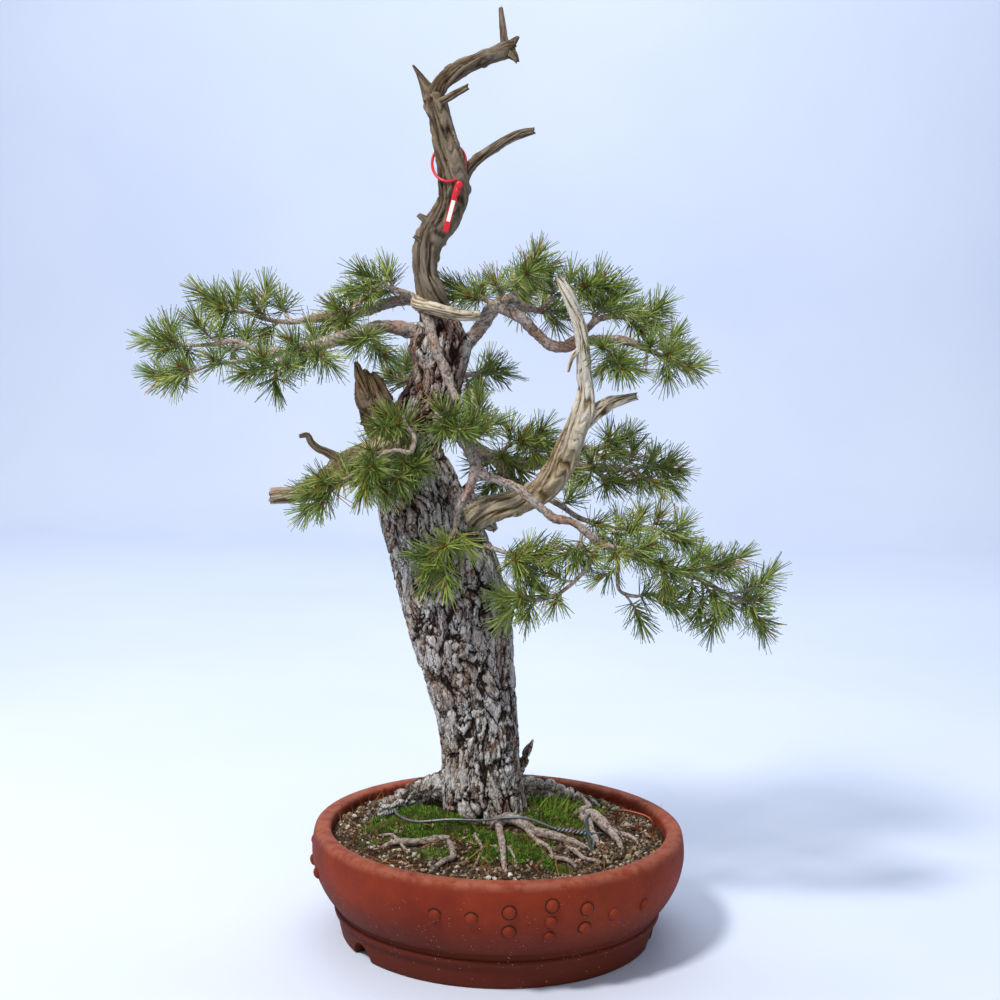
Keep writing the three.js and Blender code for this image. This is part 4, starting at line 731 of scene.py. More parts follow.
# Sprays: the stem's radius at its root and at its end, the stem's points out from a live branch, and the
# tips of its side shoots, where the needles stand
SPRAYS = {
    "left_end": ((4.2, 1.8),
        [[-294, -20, 728], [-312, -20, 730], [-332, -15, 740], [-367, -10, 735], [-406, 0, 735],
        [-424, 4, 744]],
        [[-445, 8, 739], [-422, 25, 755], [-422, -20, 728], [-380, -25, 764], [-403, 22, 715],
        [-361, 25, 753], [-330, 35, 750], [-348, 45, 728]]),
    "left_low_end": ((3.2, 1.6),
        [[-305, -30, 719], [-329, -37, 716], [-358, -42, 711], [-385, -44, 702], [-413, -40, 695]],
        [[-430, -38, 699], [-393, -65, 710], [-407, -20, 689], [-353, -72, 720]]),
    "left_lower": ((3.0, 1.8),
        [[-270, -22, 728], [-280, -50, 714], [-296, -60, 709], [-307, -65, 706]],
        [[-315, -68, 704], [-292, -84, 724], [-279, -60, 687], [-261, -88, 713]]),
    "left_upper_end": ((4.2, 1.6),
        [[-241, 45, 771], [-278, 40, 765], [-311, 40, 769], [-342, 45, 781], [-372, 50, 790]],
        [[-389, 53, 799], [-378, 82, 787], [-345, 60, 801], [-309, 58, 806], [-317, 20, 787],
        [-357, 15, 778], [-308, 22, 747], [-293, 82, 791]]),
    "left_inner_low": ((2.8, 1.8),
        [[-230, -10, 736], [-240, -25, 728], [-249, -32, 722]],
        [[-256, -34, 718], [-227, -55, 726], [-221, -12, 716], [-264, -50, 743], [-243, 0, 753]]),
    "left_inner_up": ((2.8, 1.8),
        [[-197, 50, 775], [-210, 58, 779], [-219, 63, 779]],
        [[-225, 67, 779], [-231, 45, 756], [-210, 88, 761], [-216, 30, 784], [-205, 20, 766],
        [-200, 60, 794]]),
    "left_neck": ((2.8, 1.8),
        [[-167, 6, 759], [-176, -2, 749], [-184, -10, 742]],
        [[-192, -14, 741], [-171, -38, 750], [-162, 2, 735], [-153, -20, 726]]),
    "left_top": ((3.0, 1.6),
        [[-138, 33, 806], [-150, 28, 810], [-162, 20, 818], [-175, 16, 824]],
        [[-184, 14, 827], [-154, 42, 830], [-199, 32, 806], [-177, -8, 797], [-162, 58, 805]]),
    "crown_inner": ((3.0, 1.8),
        [[-20, 25, 790], [-38, 28, 802], [-58, 32, 807]],
        [[-70, 22, 798], [-49, 4, 800], [-36, 52, 811], [-78, 38, 816]]),
    "crown_top": ((3.2, 1.6),
        [[-18, 25, 791], [-5, 12, 814], [13, 4, 827], [25, -3, 839]],
        [[-19, -10, 818], [20, -34, 830], [46, 12, 838], [16, 34, 822], [32, -5, 854]]),
    "crown_back": ((3.0, 1.8),
        [[16, 55, 791], [45, 63, 785], [66, 68, 786]],
        [[45, 88, 804], [59, 72, 772], [80, 92, 797]]),
    "crown_right": ((3.2, 1.6),
        [[38, 60, 786], [58, 48, 805], [85, 38, 815], [109, 32, 820]],
        [[76, 52, 830], [111, 50, 831], [93, 8, 816], [128, 30, 819], [50, 30, 823]]),
    "right_mid_up": ((3.0, 1.8),
        [[98, 18, 767], [110, 25, 784], [122, 30, 796]],
        [[99, 18, 803], [140, 38, 806], [141, 6, 787], [119, 58, 801]]),
    "right_far_up": ((3.0, 1.6),
        [[125, 30, 781], [161, 35, 779], [178, 35, 787]],
        [[188, 36, 795], [162, 68, 787], [186, 60, 770], [163, 12, 763]]),
    "right_end": ((3.8, 1.6),
        [[162, 8, 745], [181, 10, 736], [200, 8, 728], [220, 8, 721]],
        [[232, 10, 722], [205, 20, 758], [173, -18, 749], [215, 48, 743], [198, 14, 710], [196, -26, 735]]),
    "right_mid_low": ((3.0, 1.6),
        [[114, 8, 752], [122, -6, 739], [132, -6, 727], [142, -3, 720]],
        [[113, -32, 744], [138, 26, 732], [117, -10, 718], [156, 2, 716], [138, -34, 717]]),
    "back_upper": ((3.4, 1.8),
        [[-59, 70, 701], [-37, 92, 705], [-19, 100, 707]],
        [[-25, 128, 717], [-7, 96, 705], [-41, 118, 693], [-50, 84, 675]]),
    "back_left": ((3.0, 1.8),
        [[-115, 58, 706], [-134, 72, 692], [-146, 78, 695]],
        [[-152, 80, 701], [-134, 110, 714]]),
    "left_front": ((2.8, 1.6),
        [[-113, -41, 626], [-128, -48, 643], [-138, -54, 651]],
        [[-144, -58, 656], [-130, -80, 646], [-152, -78, 642], [-120, -60, 646]]),
    "low_left": ((3.6, 1.6),
        [[-130, -44, 601], [-147, -58, 609], [-164, -66, 607], [-176, -70, 592], [-188, -66, 582],
        [-205, -62, 574], [-222, -60, 568]],
        [[-164, -76, 616], [-194, -52, 588], [-171, -80, 566], [-242, -60, 559], [-222, -80, 579],
        [-163, -98, 596], [-242, -54, 537], [-220, -76, 549], [-166, -95, 573], [-145, -80, 565],
        [-201, -60, 577], [-156, -100, 596], [-129, -88, 581]]),
    "front_knuckle": ((2.6, 1.6),
        [[-116, -38, 611], [-115, -56, 595], [-123, -64, 576]],
        [[-110, -80, 597], [-130, -68, 566], [-122, -84, 602], [-104, -70, 592], [-109, -62, 613]]),
    "front_mid_left": ((2.6, 1.6),
        [[-78, -16, 648], [-74, -34, 648], [-70, -44, 646]],
        [[-65, -48, 655], [-79, -58, 640], [-54, -72, 641], [-80, -50, 663]]),
    "front_mid_right": ((2.8, 1.6),
        [[-48, -32, 620], [-41, -32, 635], [-31, -26, 643]],
        [[-46, -24, 658], [-35, -54, 638], [-18, -22, 646], [-36, -40, 676], [-45, -58, 647]]),
    "middle_back": ((3.0, 1.6),
        [[-14, 48, 598], [1, 44, 614], [21, 42, 625], [39, 42, 627]],
        [[2, 38, 635], [44, 36, 637], [23, 70, 621], [57, 50, 614], [-5, 10, 603], [20, 20, 624],
        [36, 24, 605], [17, 30, 585]]),
    "trunk_front": ((3.2, 1.6),
        [[-55, -50, 549], [-60, -54, 533], [-62, -58, 516], [-70, -64, 502], [-80, -70, 485]],
        [[-88, -74, 476], [-70, -88, 503], [-47, -58, 500], [-91, -66, 458], [-69, -90, 456],
        [-102, -80, 490]]),
    "back_right_up": ((3.2, 1.6),
        [[95, 74, 614], [123, 80, 611], [144, 85, 621]],
        [[131, 70, 628], [158, 95, 628], [122, 56, 602], [149, 112, 601]]),
    "back_right_end": ((3.8, 1.6),
        [[138, 70, 586], [159, 75, 585], [186, 84, 590], [204, 88, 588]],
        [[162, 66, 611], [192, 112, 600], [223, 82, 584], [192, 62, 566], [209, 92, 595], [216, 92, 562],
        [175, 100, 564]]),
    "back_mid": ((3.0, 1.8),
        [[107, 62, 588], [123, 62, 577], [134, 60, 572]],
        [[150, 76, 571], [127, 46, 567], [100, 72, 568], [107, 40, 598]]),
    "back_inner": ((3.0, 1.8),
        [[-19, 48, 600], [-9, 56, 583], [-14, 60, 567]],
        [[-38, 74, 588], [-4, 40, 569], [-27, 66, 553]]),
    "right_low": ((4.0, 1.6),
        [[49, 22, 553], [71, 12, 542], [93, 5, 529], [119, 5, 522], [141, 5, 517], [169, 6, 519],
        [197, 8, 515], [217, 10, 507]],
        [[82, 32, 554], [125, 12, 500], [146, 26, 524], [159, -24, 520], [193, 4, 533], [223, 22, 522],
        [116, -20, 523], [146, -12, 497], [230, 8, 500], [171, 20, 534], [189, 16, 497]]),
    "low_right_inner": ((3.0, 1.8),
        [[94, -64, 525], [91, -67, 508], [89, -67, 496]],
        [[69, -72, 492], [87, -48, 480], [105, -84, 493]]),
    "low_right_mid": ((3, 1.8),
        [[124, -64, 504], [136, -76, 504], [150, -82, 502], [162, -82, 500]],
        [[132, -96, 496], [172, -84, 508], [172, -76, 486]]),
    "low_right_hook": ((3.2, 1.6),
        [[130, -61, 496], [138, -58, 484], [138, -54, 466], [142, -50, 447], [161, -46, 440],
        [179, -43, 443], [195, -40, 439]],
        [[220, -36, 424], [169, -45, 409], [118, -62, 465], [204, -38, 447]]),
    "low_right_far": ((3, 1.8),
        [[174, -50, 485], [190, -62, 480], [204, -68, 474]],
        [[190, -82, 486], [197, -66, 456], [222, -66, 476]]),
    "low_right_top": ((3.2, 1.8),
        [[215, -43, 471], [238, -40, 476], [263, -35, 481]],
        [[237, -60, 491], [260, -10, 474], [274, -54, 471], [289, -30, 489]]),
    "low_right_end": ((4.0, 1.6),
        [[218, -42, 469], [241, -39, 461], [266, -35, 448], [298, -30, 429], [315, -26, 413]],
        [[228, -56, 447], [280, -8, 418], [258, -36, 403], [258, -64, 439], [328, -26, 467], [308, 0, 446],
        [312, -52, 440], [323, -24, 399], [241, -32, 417]]),
    "front_low": ((3.2, 1.6),
        [[-26, -22, 496], [-6, -42, 492], [16, -52, 487], [31, -54, 487]],
        [[15, -78, 485], [32, -36, 495], [17, -46, 469], [53, -62, 495], [36, -58, 462]]),
    "front_low_right": ((3.6, 1.6),
        [[112, -65, 505], [106, -69, 487], [95, -69, 471], [78, -66, 453], [60, -64, 440], [32, -62, 435],
        [8, -58, 436]],
        [[-4, -56, 437], [20, -86, 444], [29, -72, 417], [62, -84, 437], [57, -62, 471], [2, -54, 412],
        [46, -44, 442]]),
    "back_high": ((3.8, 1.8),
        [[-101, 130, 700], [-108, 152, 705], [-116, 176, 702]],
        [[-120, 196, 708], [-94, 172, 722], [-136, 168, 716], [-128, 146, 690], [-110, 182, 686]]),
    "back_deep": ((3.8, 1.8),
        [[48, 108, 588], [60, 132, 588], [74, 156, 584]],
        [[80, 176, 588], [94, 148, 598], [90, 128, 574], [66, 156, 566], [56, 164, 600]]),
    "back_crown": ((3.2, 1.8),
        [[2, 90, 805], [8, 112, 808], [18, 134, 804]],
        [[24, 152, 808], [0, 136, 820], [34, 124, 818], [14, 138, 788]]),
}


# Trunk, branches and roots

def shaken(spots, size, amount, seed):
    """Moves places about by smooth random amounts, so that cells get ragged edges"""
    drift = np.stack([cloud(spots / size, seed + k) for k in range(3)], axis=-1) - 0.5
    return spots + drift * amount * np.array([1.0, 1.0, 2.0])


def trunk_bark(turn, run, radius):
    """Long plates between deep cracks, built up of thin ragged flakes"""
    spots = wrapped(turn, run, radius, 1, 1)
    torn = shaken(shaken(shaken(spots, 30, 16, 11), 7, 3.8, 14), 2.8, 2.8, 17)
    inside, plate = plates(torn / np.array([14, 14, 54]), 21)
    block = rise(inside, 0.0, 0.2)
    near, flake = plates(torn / np.array([5.6, 5.6, 17]), 31)
    chip = rise(near, 0.0, 0.2)
    broad, small = cloud(torn / np.array([7, 7, 26]), 41), cloud(torn / np.array([3.4, 3.4, 11]), 42)
    layers = 5 * (0.6 * broad + 0.4 * small)
    step = np.floor(layers) + rise(layers % 1, 0.0, 0.3)
    rift = np.abs(2 * cloud(shaken(spots, 26, 16, 51) / np.array([13, 13, 120]), 55) - 1)
    crack = rise(rift, 0.0, 0.2)
    swell = cloud(wrapped(turn, run, radius, 42, 110), 57) - 0.5
    depth = 6.2 - 2.6 * rise(run, 480, 640)
    high = block * (0.25 + 0.75 * crack)
    out = depth * (high * (0.8 + 0.2 * plate) - 0.78) + high * (step - 2.5) * 0.55 + chip * 0.7 + swell * 9
    relief = high * (0.35 + 0.65 * chip)
    edge = high * rise(near, 0.05, 0.16) * (1 - rise(near, 0.2, 0.36)) * rise(layers % 1, 0.55, 0.9)
    return out, {"relief": relief, "plate": plate, "flake": flake, "edge": edge}


def branch_bark(seed, across=5.0, along=9.0, depth=1.1):
    """Small scales and the faint rings that old bud whorls leave"""
    def swell(turn, run, radius):
        spot = wrapped(turn, run, radius, across, along)
        inside, plate = plates(spot, seed)
        scale = rise(inside, 0.02, 0.35)
        knots = cloud(wrapped(turn, run, radius, 11, 17), seed + 3) - 0.55
        out = depth * (scale - 0.7) * np.minimum(radius / 6, 1.6) + knots * radius * 0.36
        return out, {"relief": 0.25 + 0.75 * scale, "plate": plate, "flake": plate}
    return swell


def build_trunk(finishes):
    stock = Stock()
    tube(stock, flow(TRUNK, 346), 228, trunk_bark)
    stock.place("trunk_bark", finishes, "bark", "trunk")


def build_branches(finishes):
    stock = Stock()
    for k, points in enumerate(BRANCHES):
        flared = [[*points[0][:3], points[0][3] * 1.3], *points[1:]]
        tube(stock, flow(flared, int(length_of(points) / 2)), 20, branch_bark(60 + k))
    stock.place("live_branches", finishes, "bark", "trunk")


def build_roots(bark, smooth_bark):
    stock = Stock()
    for k, points in enumerate(FLARES):
        tube(stock, flow(points, int(length_of(points) / 1.7)), 64, branch_bark(90 + k, 9, 16, 3.2))
    stock.place("root_flares", [bark], "bark", "trunk")
    stock = Stock()
    for k, points in enumerate(THIN_ROOTS):
        line = flow(on_soil(points), int(length_of(points) / 1.8))
        tube(stock, line, 16, branch_bark(110 + k, 5, 14, 0.8))
    stock.place("surface_roots", [smooth_bark], "bark", "trunk")


# Deadwood

def weathered(seed, torn):
    """Ridges and grooves that wind slowly round a limb, with fine checks between them"""
    def swell(turn, run, radius):
        wound = turn + run * 0.01 + 1.3 * (cloud(wrapped(turn, run, 1.0, 1.0, 70), seed + 5) - 0.5)
        broad = cloud(wrapped(wound, run, 1.0, 0.8, 60), seed)
        grooves = np.abs(2 * cloud(wrapped(wound, run, 1.0, 0.4, 48), seed + 1) - 1)
        checks = np.abs(2 * cloud(wrapped(wound, run, 1.0, 0.17, 20), seed + 2) - 1)
        lines = cloud(wrapped(wound, run, 1.0, 0.08, 9), seed + 3)
        knots = cloud(wrapped(turn, run, radius, 9, 13), seed + 4)
        out = radius * torn * ((broad - 0.5) * 0.3 + (rise(grooves, 0, 0.4) - 0.85) * 0.2
                               + (rise(checks, 0, 0.4) - 0.85) * 0.1 + (lines - 0.5) * 0.06
                               + rise(knots, 0.72, 0.9) * 0.14)
        relief = 0.45 * rise(grooves, 0, 0.5) + 0.3 * rise(checks, 0, 0.4) + 0.25 * lines
        grain = wrapped(wound, run, radius, 1.7, 15) + seed * 3.7
        return out, {"relief": relief, "grain": grain}
    return swell


def build_deadwood(name, finish):
    split = name == "deadwood_split_stub"
    torn = 1.5 if split else 1.0
    stock = Stock()
    for k, (jag, points) in enumerate(DEADWOOD[name]):
        around = int(min(92, 22 + max(point[3] for point in points) * 3.5))
        swell = weathered(len(name) * 10 + k * 5, torn)
        tube(stock, flow(points, int(length_of(points) / 2.1)), around, swell, jag=jag, seed=k + 5)
    stock.place(name.replace("deadwood", "bare_wood"), [finish], "torn_wood" if split else "bare_wood", name)


# Sprays

def side_shoot(line, tip):
    """The gently bent line of a side shoot, from its place on the stem to its tip"""
    tip = np.array(tip, float)
    best = int(np.argmin(np.linalg.norm(line[:, :3] - tip, axis=1)))
    gap = np.linalg.norm(line[best, :3] - tip)
    back = min(0.35, 0.5 * gap / run_along(line)[-1])
    root = line[int(np.clip(best / (len(line) - 1) - back, 0.12, 0.96) * (len(line) - 1)), :3]
    ahead = line[min(best + 2, len(line) - 1), :3] - line[max(best - 2, 0), :3]
    ahead = ahead / np.linalg.norm(ahead)
    middle = (root + tip) / 2 + ahead * gap * 0.1 - np.array([0, 0, gap * 0.06])
    return flow([[*root, 1.9], [*middle, 1.7], [*tip, 1.5]], max(6, int(gap / 3)))


def bud(stock, tip, ahead):
    """A pointed brown bud that stands on a shoot's tip"""
    line = np.array([[*(tip + ahead * reach), width] for reach, width in (
        (-1.5, 1.6), (1.0, 2.3), (3.5, 2.1), (6.0, 1.3), (8.0, 0.4))])
    tube(stock, line, 7, look=1)


def end_part(line, reach):
    """The last stretch of a line, in seven points"""
    run = run_along(line)
    marks = np.linspace(max(run[-1] - reach, run[-1] * 0.25), run[-1], 7)
    return np.stack([np.interp(marks, run, line[:, k]) for k in range(3)], axis=1)


def chain_object(name, chains):
    """A mesh of open edge chains, for the needles to be grown on"""
    spots = np.vstack(chains) * MM + POT_AXIS
    edges = []
    start = 0
    for chain in chains:
        edges += [[start + k, start + k + 1] for k in range(len(chain) - 1)]
        start += len(chain)
    mesh = bpy.data.meshes.new(name)
    mesh.from_pydata(spots.tolist(), edges, [])
    return new_object(name, mesh)


def new_tree(name, inlets):
    """An empty geometry tree with a geometry input and these named ones"""
    tree = bpy.data.node_groups.new(name, "GeometryNodeTree")
    tree.interface.new_socket("Geometry", in_out="INPUT", socket_type="NodeSocketGeometry")
    for inlet, kind in inlets.items():
        tree.interface.new_socket(inlet, in_out="INPUT", socket_type="NodeSocket" + kind)
    tree.interface.new_socket("Geometry", in_out="OUTPUT", socket_type="NodeSocketGeometry")
    return Bench(tree)


def finish_tree(bench, instances):
    """Gives every instance a tint of its own, makes the instances real and sets the finish"""
    tinted = bench.node("GeometryNodeStoreNamedAttribute", {"data_type": "FLOAT", "domain": "INSTANCE"}, {
        "Geometry": instances, "Name": "tint",
        "Value": bench.draw(0.0, 1.0, bench.inlet("Seed") + 5)})
    real = bench.node("GeometryNodeRealizeInstances", None, {"Geometry": tinted})
    dressed = bench.node("GeometryNodeSetMaterial", None, {
        "Geometry": real, "Material": bench.inlet("Finish")})
    bench.node("NodeGroupOutput", None, [dressed])
    return bench.tree


def leaning(bench, facing, lean_x, lean_y, spin):
    """A turn from the way that a point faces: a lean in its own frame, then a spin"""
    tilt = bench.node("ShaderNodeCombineXYZ", None, [lean_x, lean_y, spin])
    tilt = bench.node("FunctionNodeEulerToRotation", None, [tilt])
    return bench.node("FunctionNodeRotateRotation", {"rotation_space": "LOCAL"}, [facing, tilt])


def needle_tree():
    """Pairs of needles round the end of each shoot: they lean out at its foot and forward at its tip"""
    bench = new_tree("needle_brush", {
        "Needle length": "Float", "Needle width": "Float", "Spacing": "Float", "Foot lean": "Float",
        "Tip lean": "Float", "Seed": "Int", "Finish": "Material"})
    width = bench.inlet("Needle width")
    needle = bench.node("GeometryNodeMeshCone", {"fill_type": "NGON"}, {
        "Vertices": 3, "Side Segments": 1, "Fill Segments": 1, "Radius Top": width * 0.65,
        "Radius Bottom": width, "Depth": bench.inlet("Needle length")})
    turned = bench.node("GeometryNodeTransform", None, {
        "Geometry": needle, "Rotation": (0.12, 0.2, math.pi)})
    pair = bench.node("GeometryNodeJoinGeometry", None, [[needle, turned]])
    curve = bench.node("GeometryNodeMeshToCurve", None, {"Mesh": bench.inlet("Geometry")})
    share = bench.node("GeometryNodeSplineParameter")
    marked = bench.node("GeometryNodeStoreNamedAttribute", {"data_type": "FLOAT", "domain": "POINT"}, {
        "Geometry": curve, "Name": "share", "Value": share})
    dots = bench.node("GeometryNodeCurveToPoints", {"mode": "LENGTH"}, {
        "Curve": marked, "Length": bench.inlet("Spacing")}, "Points")
    along = bench.node("GeometryNodeInputNamedAttribute", {"data_type": "FLOAT"}, {"Name": "share"})
    foot = bench.inlet("Foot lean")
    seed = bench.inlet("Seed")
    lean = foot + (bench.inlet("Tip lean") - foot) * along + bench.draw(-LEAN_STRAY, LEAN_STRAY, seed)
    spin = bench.node("GeometryNodeInputIndex") * GOLDEN_TURN + bench.draw(-0.5, 0.5, seed + 1)
    needles = bench.node("GeometryNodeInstanceOnPoints", None, {
        "Points": dots, "Instance": pair, "Rotation": leaning(bench, dots.also("Rotation"), lean, 0.0, spin),
        "Scale": bench.draw(0.7, 1.1, seed + 2)})
    return finish_tree(bench, needles)


def grow(source, tree, **inputs):
    """Runs a geometry tree on an object and gives what it makes as a plain mesh"""
    modifier = source.modifiers.new("grow", "NODES")
    modifier.node_group = tree
    for item in tree.interface.items_tree:
        if item.in_out == "INPUT" and item.name in inputs:
            modifier[item.identifier] = inputs[item.name]
    bpy.context.view_layer.update()
    depsgraph = bpy.context.evaluated_depsgraph_get()
    mesh = bpy.data.meshes.new_from_object(source.evaluated_get(depsgraph), preserve_all_data_layers=True,
                                           depsgraph=depsgraph)
    source.modifiers.clear()
    bpy.data.objects.remove(source)
    return mesh


def build_spray(name, spray, tree, finishes, seed):
    twig, bud_look, needle_look = finishes
    (start, end), spots, tips = spray
    last = len(spots) - 1
    points = [[*spot, start + (end - start) * k / last] for k, spot in enumerate(spots)]
    stem = flow(points, max(10, int(length_of(points) / 3)))
    stock = Stock()
    tube(stock, stem, 10, branch_bark(seed, 3.5, 6, 0.6))
    chains = [end_part(stem, min(30, run_along(stem)[-1] * 0.5))]
    for tip in tips:
        shoot = side_shoot(stem, tip)
        tube(stock, shoot, 7, branch_bark(seed + 1, 3, 5, 0.4))
        ahead = shoot[-1, :3] - shoot[-2, :3]
        bud(stock, shoot[-1, :3], ahead / np.linalg.norm(ahead))
        chains.append(end_part(shoot, BRUSH_LENGTH))
    stock.place(name + "_twigs", [twig, bud_look], "bark", "spray_" + name)
    needles = grow(chain_object(name + "_chains", chains), tree, **{
        "Needle length": NEEDLE_LENGTH * MM, "Needle width": NEEDLE_WIDTH * MM,
        "Spacing": NEEDLE_SPACING * MM, "Foot lean": FOOT_LEAN, "Tip lean": TIP_LEAN, "Seed": seed,
        "Finish": needle_look})
    place(name + "_needles", needles, "needles", "spray_" + name)


# Pot

def arc(points, steps):
    """A smooth stretch of the pot's profile through [radius, height] spots"""
    return [[x, z] for x, z, _ in flow([[x, z, 0] for x, z in points], steps)]


def pot_profile():
    """The pot's section from the middle underneath, up the outside, over the rim and down to the floor"""
    foot = [[0, 14], [181, 14], [182.5, 13], [183, 1.2], [184.2, 0], [196, 0], [197.4, 1.2]]
    plinth = arc([[197.4, 1.2], [199.6, 10], [201.2, 20], [201.8, 25]], 8)
    bead = arc([[201.8, 25], [203.4, 28.4], [206.4, 30.2], [207.2, 32.6], [206.2, 35], [203.8, 36.6]], 14)
    cove = arc([[203.8, 36.6], [203.2, 40], [205.2, 43.6], [209.2, 45.4]], 10)
    belly = arc([[209.8, 45.8], [220, 59], [231, 82], [235.5, 104], [235.2, 118], [233.4, 130]], 34)
    rim = arc([[233.4, 130], [231.6, 135], [227, 137.3], [219.8, 137.5], [215, 136.9], [212.7, 134.6],
               [212, 131]], 18)
    inner = [[212, 124], [209.6, 105], [206, 80], [200, 62], [190, 46], [176, 34], [158, 28], [0, 28]]
    return foot + plinth[1:] + bead[1:] + cove[1:] + belly + rim[1:] + inner


def lathe(profile, turns):
    """A closed mesh turned about the pot's axis, in metres"""
    form = bmesh.new()
    rings = []
    for radius, height in profile:
        if radius == 0:
            rings.append([form.verts.new((0, 0, height * MM))])
            continue
        rings.append([form.verts.new((radius * MM * math.sin(a), -radius * MM * math.cos(a), height * MM))
                      for a in (2 * math.pi * k / turns for k in range(turns))])
    for low, high in zip(rings, rings[1:]):
        for k in range(turns):
            n = (k + 1) % turns
            corners = [low[k % len(low)], low[n % len(low)], high[n % len(high)], high[k % len(high)]]
            form.faces.new(list(dict.fromkeys(corners)))
    bmesh.ops.recalc_face_normals(form, faces=form.faces)
    return form


def cut_round(piece, radius, matrix):
    """Cuts a round hole through a piece, along the matrix's own z"""
    form = bmesh.new()
    bmesh.ops.create_cone(form, cap_ends=True, segments=40, radius1=radius * MM, radius2=radius * MM,
                          depth=CUT_DEPTH * MM, matrix=matrix)
    tool = new_object("cutter", form_mesh("cutter", form))
    modifier = piece.modifiers.new("cut", "BOOLEAN")
    modifier.operation = "DIFFERENCE"
    modifier.solver = "EXACT"
    modifier.object = tool
    bpy.context.view_layer.update()
    depsgraph = bpy.context.evaluated_depsgraph_get()
    mesh = bpy.data.meshes.new_from_object(piece.evaluated_get(depsgraph))
    piece.modifiers.clear()
    piece.data = mesh
    bpy.data.objects.remove(tool)


def drain_spots():
    bearings = [(k + 0.25) * 2 * math.pi / DRAIN_COUNT for k in range(DRAIN_COUNT)]
    return [(DRAIN_RING * math.cos(b), DRAIN_RING * math.sin(b)) for b in bearings]


def belly_slope(height):
    """The belly's radius at a height, and how fast it widens there"""
    heights = [59, 82, 104, 118]
    radii = [220, 231, POT_RADIUS, 235.2]
    radius = float(np.interp(height, heights, radii))
    return radius, (np.interp(height + 5, heights, radii) - np.interp(height - 5, heights, radii)) / 10


def add_stud(form, groove, seat, turned):
    """One nail-head stud: a low dome that stands square on the belly, with a faint rim"""
    profile = [(0.0, 1.0), (0.34, 0.95), (0.62, 0.8), (0.83, 0.57), (0.95, 0.3), (1.0, 0.06), (1.01, 0.05),
               (1.2, 0.03), (1.24, -0.5)]
    rings = []
    for share, lift in profile:
        count = 1 if share == 0 else STUD_TURNS
        turns = [2 * math.pi * k / count for k in range(count)]
        reach = STUD_RADIUS * share
        rings.append([form.verts.new((seat + turned @ Vector((
            reach * math.cos(a), reach * math.sin(a), STUD_RISE * lift))) * MM) for a in turns])
        # The collar's corners are marked for the painted shade ring round the stud
        for corner in rings[-1]:
            corner[groove] = float(share >= 1.0)
    for low, high in zip(rings, rings[1:]):
        for k in range(STUD_TURNS):
            n = (k + 1) % STUD_TURNS
            form.faces.new(list(dict.fromkeys([low[k % len(low)], high[k], high[n], low[n % len(low)]])))
    form.faces.new(list(reversed(rings[-1])))


def add_studs(form):
    # A layer for the painted shade ring round each stud
    groove = form.verts.layers.float.new("groove")
    for centre, (turn, heights) in product(STUD_GROUPS, STUD_COLUMNS.items()):
        bearing = math.radians(centre + turn)
        for height in heights:
            radius, slope = belly_slope(height)
            out = Vector((math.sin(bearing), -math.cos(bearing), -float(slope))).normalized()
            seat = Vector((math.sin(bearing) * radius, -math.cos(bearing) * radius, height))
            add_stud(form, groove, seat, out.to_track_quat("Z", "Y").to_matrix())


def build_pot(finish):
    pot = new_object("pot_body", form_mesh("pot_body", lathe(pot_profile(), POT_TURNS)))
    for bearing in NOTCH_BEARINGS:
        outwards = Matrix.Translation((0, -(FOOT_RADIUS - 5) * MM, 0)) @ Matrix.Rotation(math.pi / 2, 4, "X")
        cut_round(pot, NOTCH_RADIUS, Matrix.Rotation(math.radians(bearing), 4, "Z") @ outwards)
    for x, y in drain_spots():
        cut_round(pot, DRAIN_RADIUS, Matrix.Translation((x * MM, y * MM, 20 * MM)))
    mesh = pot.data
    bpy.data.objects.remove(pot)
    form = bmesh.new()
    form.from_mesh(mesh)
    add_studs(form)
    form.to_mesh(mesh)
    form.free()
    mesh.transform(Matrix.Translation(Vector(POT_AXIS)))
    mesh.materials.clear()
    mesh.materials.append(finish)
    mesh.polygons.foreach_set("use_smooth", [True] * len(mesh.polygons))
    mesh.set_sharp_from_angle(angle=math.radians(38))
    place("pot_body", mesh, "clay", "pot")


# Soil, grit, moss and litter

# Moss: [x, y, width, depth, height, how thickly it grows]
MOSS = [
    [-112, -6, 50, 58, 8, 1.0], [-104, -56, 40, 24, 6, 1.0], [-64, -36, 38, 26, 5, 0.9],
    [-112, 70, 40, 56, 5, 0.8], [62, 30, 46, 42, 8, 1.0], [84, 92, 50, 52, 9, 0.85],
    [62, -14, 40, 24, 5, 0.9], [46, 122, 50, 36, 14, 0.7], [16, -78, 36, 24, 5, 0.9],
    [30, -112, 36, 26, 6, 1.0], [-8, -112, 26, 20, 4, 0.8], [-74, -112, 22, 14, 3, 0.8],
    [66, -134, 16, 12, 3, 0.7], [-60, 126, 48, 28, 5, 0.7], [-22, -70, 22, 14, 3, 0.7],
]


def moss_share(x, y):
    """How thickly moss grows at each place, from 0 to 1"""
    spot = np.stack([x / 16, y / 16, 0 * x], axis=-1)
    wander = (cloud(spot, 71) - 0.5) * 1.1 + (cloud(spot * 3, 72) - 0.5) * 0.7
    share = 0 * x
    for cx, cy, width, depth, _, thick in MOSS:
        reach = np.hypot((x - cx) / width, (y - cy) / depth)
        share = np.maximum(share, thick * rise(1.1 + wander - reach, 0, 0.35))
    return share


